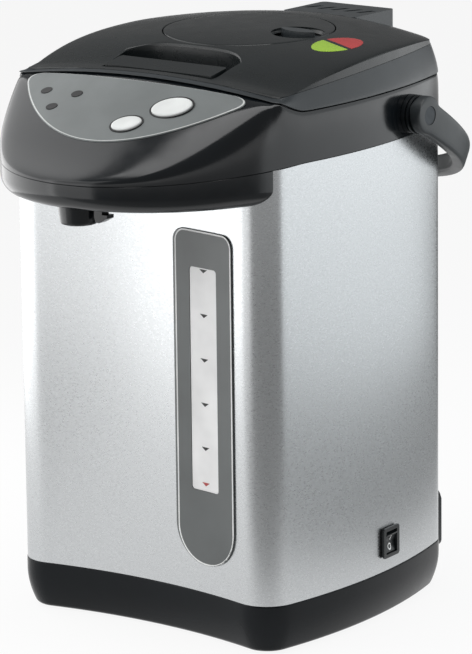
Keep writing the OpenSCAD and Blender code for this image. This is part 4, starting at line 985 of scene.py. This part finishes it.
def bail_edges(y):
    """Lower and upper edge of the bail seen from its side, at a reach y."""
    grip_y = BAIL_REACH - GRIP_ROUND
    # Reach, height of the middle and half height
    stations = ((4, -0.5, 9.3), (BAIL_REACH / 2, 0.45, 8.1), (grip_y, 0, GRIP_HALF))
    low = high = None
    for (y0, z0, r0), (y1, z1, r1) in zip(stations, stations[1:]):
        if y0 <= y <= y1:
            t = (y - y0) / (y1 - y0)
            t = mix(t, t * t * (3 - 2 * t), 0.35)
            low, high = mix(z0 - r0, z1 - r1, t), mix(z0 + r0, z1 + r1, t)
    if y > grip_y:
        drop = math.sqrt(GRIP_HALF ** 2 - (y - grip_y) ** 2)
        return -drop, drop
    eye = math.sqrt(max(0.0, EYE_R ** 2 - y * y))
    if low is None:
        return -eye, eye
    return soft_min(low, -eye, 0.6), soft_max(high, eye, 0.6)


def make_bail():
    def plan(half, reach, t):
        c, s = math.cos(t), max(0.0, math.sin(t))
        power = 2 / BAIL_POWER
        return Vector((math.copysign(half * abs(c) ** power, c), reach * s ** power))

    drops = [EYE_R * math.cos(math.radians(a)) for a in range(3, 88, 6)]
    stations = [(Vector((ARM_OUT, -d)), Vector((ARM_IN, -d))) for d in drops]
    turns = [math.pi / 2 * (1 - math.cos(math.pi * i / 100)) for i in range(101)]
    stations += [(plan(ARM_OUT, BAIL_REACH, t), plan(ARM_IN, BAIL_REACH - GRIP_T, t)) for t in turns]
    stations += [(Vector((-ARM_OUT, -d)), Vector((-ARM_IN, -d))) for d in reversed(drops)]
    hang = Matrix.Translation(PIVOT) @ Matrix.Rotation(-BAIL_HANG, 4, "X")
    rings = []
    for out, inside in stations:
        ring = []
        for i in range(32):
            a = 2 * math.pi * i / 32
            c, s = math.cos(a), math.sin(a)
            across = math.copysign(abs(c) ** SECTION_POWER, c)
            rise = math.copysign(abs(s) ** SECTION_POWER, s)
            p = mix(inside, out, (1 + across) / 2)
            low, high = bail_edges(p.y)
            ring.append(hang @ Vector((p.x, p.y, mix(low, high, (1 + rise) / 2))))
        rings.append(ring)
    made = skin("bail_grip", rings)
    for side in (-1, 1):
        for radius, start in BORES:
            bore = [PIVOT + Vector((0, p.x, p.y)) for p in oval(radius, radius, 48)]
            ends = [[p + Vector((side * x, 0, 0)) for p in bore] for x in (start, BORE_END)]
            cut(made, skin("cut", ends if side > 0 else ends[::-1]))
    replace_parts(finish_piece(made, "bail_handle", "handle_satin"), "bail_handle")


# Signs on the dome and on the rocker

# The lock's two signs, half an oval each: middle, half width and depth, turn and gap in degrees
SIGN_AT, SIGN_A, SIGN_B, SIGN_TURN, SIGN_GAP = Vector((68.2, 10.2)), 11.4, 18.4, -3, 4.6
# The rocker's offset in its frame and its tilt, its hollow face, and how far its signs stand out
ROCKER_X, ROCKER_TILT, PRINT_UNDER, PRINT_OVER = -3, math.radians(8), -0.05, 0.06
ROCKER_FACE = [Vector(p) for p in ((-5.5, 4.6), (-2.7, 3.3), (0, 2.9), (2.7, 3.3), (5.5, 4.6))]


def make_signs():
    turn = Matrix.Rotation(math.radians(SIGN_TURN), 2)
    for name, start, finish in (("release_sign", -9, "red_paint"), ("lock_sign", 171, "green_paint")):
        angles = [math.radians(start + SIGN_GAP + (180 - 2 * SIGN_GAP) * i / 30) for i in range(31)]
        plan = [SIGN_AT + turn @ Vector((SIGN_A * math.cos(a), SIGN_B * math.sin(a))) for a in angles]
        middle = sum(plan, Vector((0, 0))) / len(plan)
        rings = [crown_ring([mix(middle, p, k) for p in plan], up)
                 for k, up in ((1, -0.2), (1, 0.02), (0.98, 0.06), (0.7, 0.06), (0.4, 0.06))]
        made = skin(name, rings, crown_point(middle, -0.2), crown_point(middle, 0.06))
        finish_piece(made, "lid_cover", finish)


def make_switch_signs():
    turn = (Matrix.Translation(SWITCH_AT) @ Matrix.Rotation(SWITCH_TURN, 4, "Z")
            @ Matrix.Translation((ROCKER_X, 0, 0)) @ Matrix.Rotation(ROCKER_TILT, 4, "Y")
            @ Matrix.Rotation(math.pi / 2, 4, "X"))

    def on_rocker(outline, up):
        return [turn @ Vector((lookup(p.y, ROCKER_FACE) + up, p.y, -p.x)) for p in outline]

    bar = [Vector(p) for p in ((-0.4, 1.4), (0.4, 1.4), (0.4, 2.7), (0.4, 4.1), (-0.4, 4.1),
                               (-0.4, 2.7))]
    made = skin("on_sign", [on_rocker(bar, PRINT_UNDER), on_rocker(bar, PRINT_OVER)])
    finish_piece(made, "rocker_switch", "white_paint")
    out, hole = ([p + Vector((0, -2.6)) for p in oval(r * 0.9, r, 48)] for r in (2.0, 1.2))
    rings = [on_rocker(hole, PRINT_UNDER), on_rocker(out, PRINT_UNDER), on_rocker(out, PRINT_OVER),
             on_rocker(hole, PRINT_OVER)]
    finish_piece(loop_skin("off_sign", rings), "rocker_switch", "white_paint")


for make in (make_base, make_wrap, make_housing, make_cover, make_lid_band, make_dome, make_plate,
             make_panel, make_buttons, make_gauge, make_bail, make_signs, make_switch_signs):
    make()


# Floor, light and camera

CAMERA_AZIMUTH = math.radians(37.68)
# Half the floor's side, in metres like all that follows; its x and y turn with the camera
FLOOR_HALF = 20.0
# The white pool's limits on the right and in front, its soft edge, and how its right limit leans;
# beyond them, short of the far field, the paper is painted shade in grey
POOL_RIGHT, POOL_FRONT, POOL_EDGE, POOL_LEAN = 0.165, -0.17, 0.13, -0.08
# Where the white far field starts, and where it is whole
FAR_START, FAR_END = 1.2, 2.2
# The grey is painted shade, the white the paper's own colour
PAINTED_SHADE_GREY, PAPER_WHITE, WHITE_SHARE = (0.38, 0.38, 0.38), (0.93, 0.93, 0.93), 0.9


def paper():
    """Pale grey paper with a white pool and a white far field; the grey, to the right of the object
    and in front of it, is painted shade that the steel's right side and the base's front corner
    reflect dark.

    The white parts also show as white to the camera, in metal and through glass.
    """
    made = Finish("paper_floor", PAINTED_SHADE_GREY, 0.9)
    coords = made.node("ShaderNodeTexCoord")
    split = made.node("ShaderNodeSeparateXYZ")
    made.link(coords.outputs["Object"], split.inputs[0])

    def math_node(operation, *values):
        node = made.node("ShaderNodeMath", operation=operation)
        for socket, value in zip(node.inputs, values):
            if isinstance(value, float):
                socket.default_value = value
            else:
                made.link(value, socket)
        return node.outputs[0]

    def fade(value, low, high, start, end):
        faded = made.ramp(value, low, high, start, end)
        faded.node.interpolation_type = "SMOOTHSTEP"
        return faded

    lean = math_node("MULTIPLY_ADD", split.outputs["Y"], POOL_LEAN, split.outputs["X"])
    right = fade(lean, 1.0, 0.0, POOL_RIGHT, POOL_RIGHT + POOL_EDGE)
    front = fade(split.outputs["Y"], 0.0, 1.0, POOL_FRONT - POOL_EDGE, POOL_FRONT)
    reach = made.node("ShaderNodeVectorMath", operation="LENGTH")
    made.link(coords.outputs["Object"], reach.inputs[0])
    far = fade(reach.outputs["Value"], 0.0, 1.0, FAR_START, FAR_END)
    whole = math_node("MAXIMUM", math_node("MULTIPLY", right, front), far)
    made.blend_colour(whole, PAINTED_SHADE_GREY, PAPER_WHITE)
    path = made.node("ShaderNodeLightPath")
    seen = math_node("MAXIMUM", path.outputs["Is Camera Ray"], path.outputs["Is Glossy Ray"])
    seen = math_node("MAXIMUM", seen, path.outputs["Is Transmission Ray"])
    share = math_node("MULTIPLY", math_node("MULTIPLY", seen, whole), WHITE_SHARE)
    white = made.node("ShaderNodeEmission", Strength=1.0)
    blend = made.node("ShaderNodeMixShader")
    made.link(share, blend.inputs[0])
    made.link(made.shader.outputs[0], blend.inputs[1])
    made.link(white.outputs[0], blend.inputs[2])
    made.link(blend.outputs[0], made.tree.nodes["Material Output"].inputs["Surface"])
    return made.material


def build_stage():
    """A wide sheet of paper under the object."""
    mesh = bpy.data.meshes.new("paper_floor")
    corners = [(x * FLOOR_HALF, y * FLOOR_HALF, 0) for x, y in ((-1, -1), (1, -1), (1, 1), (-1, 1))]
    mesh.from_pydata(corners, [], [(0, 1, 2, 3)])
    stage = add_object("paper_floor", mesh)
    stage.rotation_euler.z = CAMERA_AZIMUTH
    dress(stage, paper())


def area_light(name, place, target, size, power, colour=(1.0, 1.0, 1.0)):
    """A lamp at a place, turned to a target; lengths in metres, power in watts."""
    data = bpy.data.lights.new(name, "AREA")
    data.shape = "RECTANGLE"
    data.size, data.size_y = size
    data.energy = power
    data.color = colour
    lamp = add_object(name, data)
    lamp.location = place
    lamp.rotation_euler = (Vector(target) - Vector(place)).to_track_quat("-Z", "Y").to_euler()


# Pixels of the photograph
PHOTO_HEIGHT, FOCAL_PX = 654, 4301.35
CAMERA_PITCH = math.radians(13.09)
CAMERA_ROLL = math.radians(-0.68)
CAMERA_PLACE = Vector((1479.0, -1912.4 + FRAME_SHIFT, 723.4)) * MM


def build_camera():
    """The photograph's camera, from the fit of its rays to the object's own edges."""
    data = bpy.data.cameras.new("photo_camera")
    data.sensor_fit = "VERTICAL"
    data.sensor_height = 36.0
    data.lens = FOCAL_PX * data.sensor_height / PHOTO_HEIGHT
    data.clip_end = 20.0
    camera = add_object("photo_camera", data)
    ahead = Vector((-math.sin(CAMERA_AZIMUTH) * math.cos(CAMERA_PITCH),
                    math.cos(CAMERA_AZIMUTH) * math.cos(CAMERA_PITCH), -math.sin(CAMERA_PITCH)))
    right = Vector((math.cos(CAMERA_AZIMUTH), math.sin(CAMERA_AZIMUTH), 0.0))
    up = right.cross(ahead)
    side = right * math.cos(CAMERA_ROLL) + up * math.sin(CAMERA_ROLL)
    top = up * math.cos(CAMERA_ROLL) - right * math.sin(CAMERA_ROLL)
    turned = Matrix((side, top, -ahead)).transposed()
    camera.matrix_world = Matrix.Translation(CAMERA_PLACE) @ turned.to_4x4()
    bpy.context.scene.camera = camera


def build_light():
    world = bpy.data.worlds.new("studio")
    world.use_nodes = True
    background = world.node_tree.nodes["Background"]
    background.inputs["Color"].default_value = (1.0, 1.0, 1.0, 1.0)
    background.inputs["Strength"].default_value = 0.2
    bpy.context.scene.world = world
    area_light("front_softbox", (-0.254, -0.664, 0.56), (0.0, -0.12, 0.56), (0.46, 1.1), 1.8)
    area_light("left_softbox", (-0.492, -0.207, 0.56), (0.0, -0.12, 0.56), (0.85, 1.1), 4.0)
    area_light("right_softbox", (0.47, 0.36, 0.41), (0.1, 0.02, 0.41), (0.9, 0.8), 2.2,
               (0.94, 0.98, 1.0))
    area_light("top_softbox", (0.1, -0.1, 1.5), (0.0, 0.0, 0.3), (1.0, 1.0), 9.0)


build_stage()
build_camera()
build_light()
bpy.context.scene.view_settings.view_transform = "Standard"
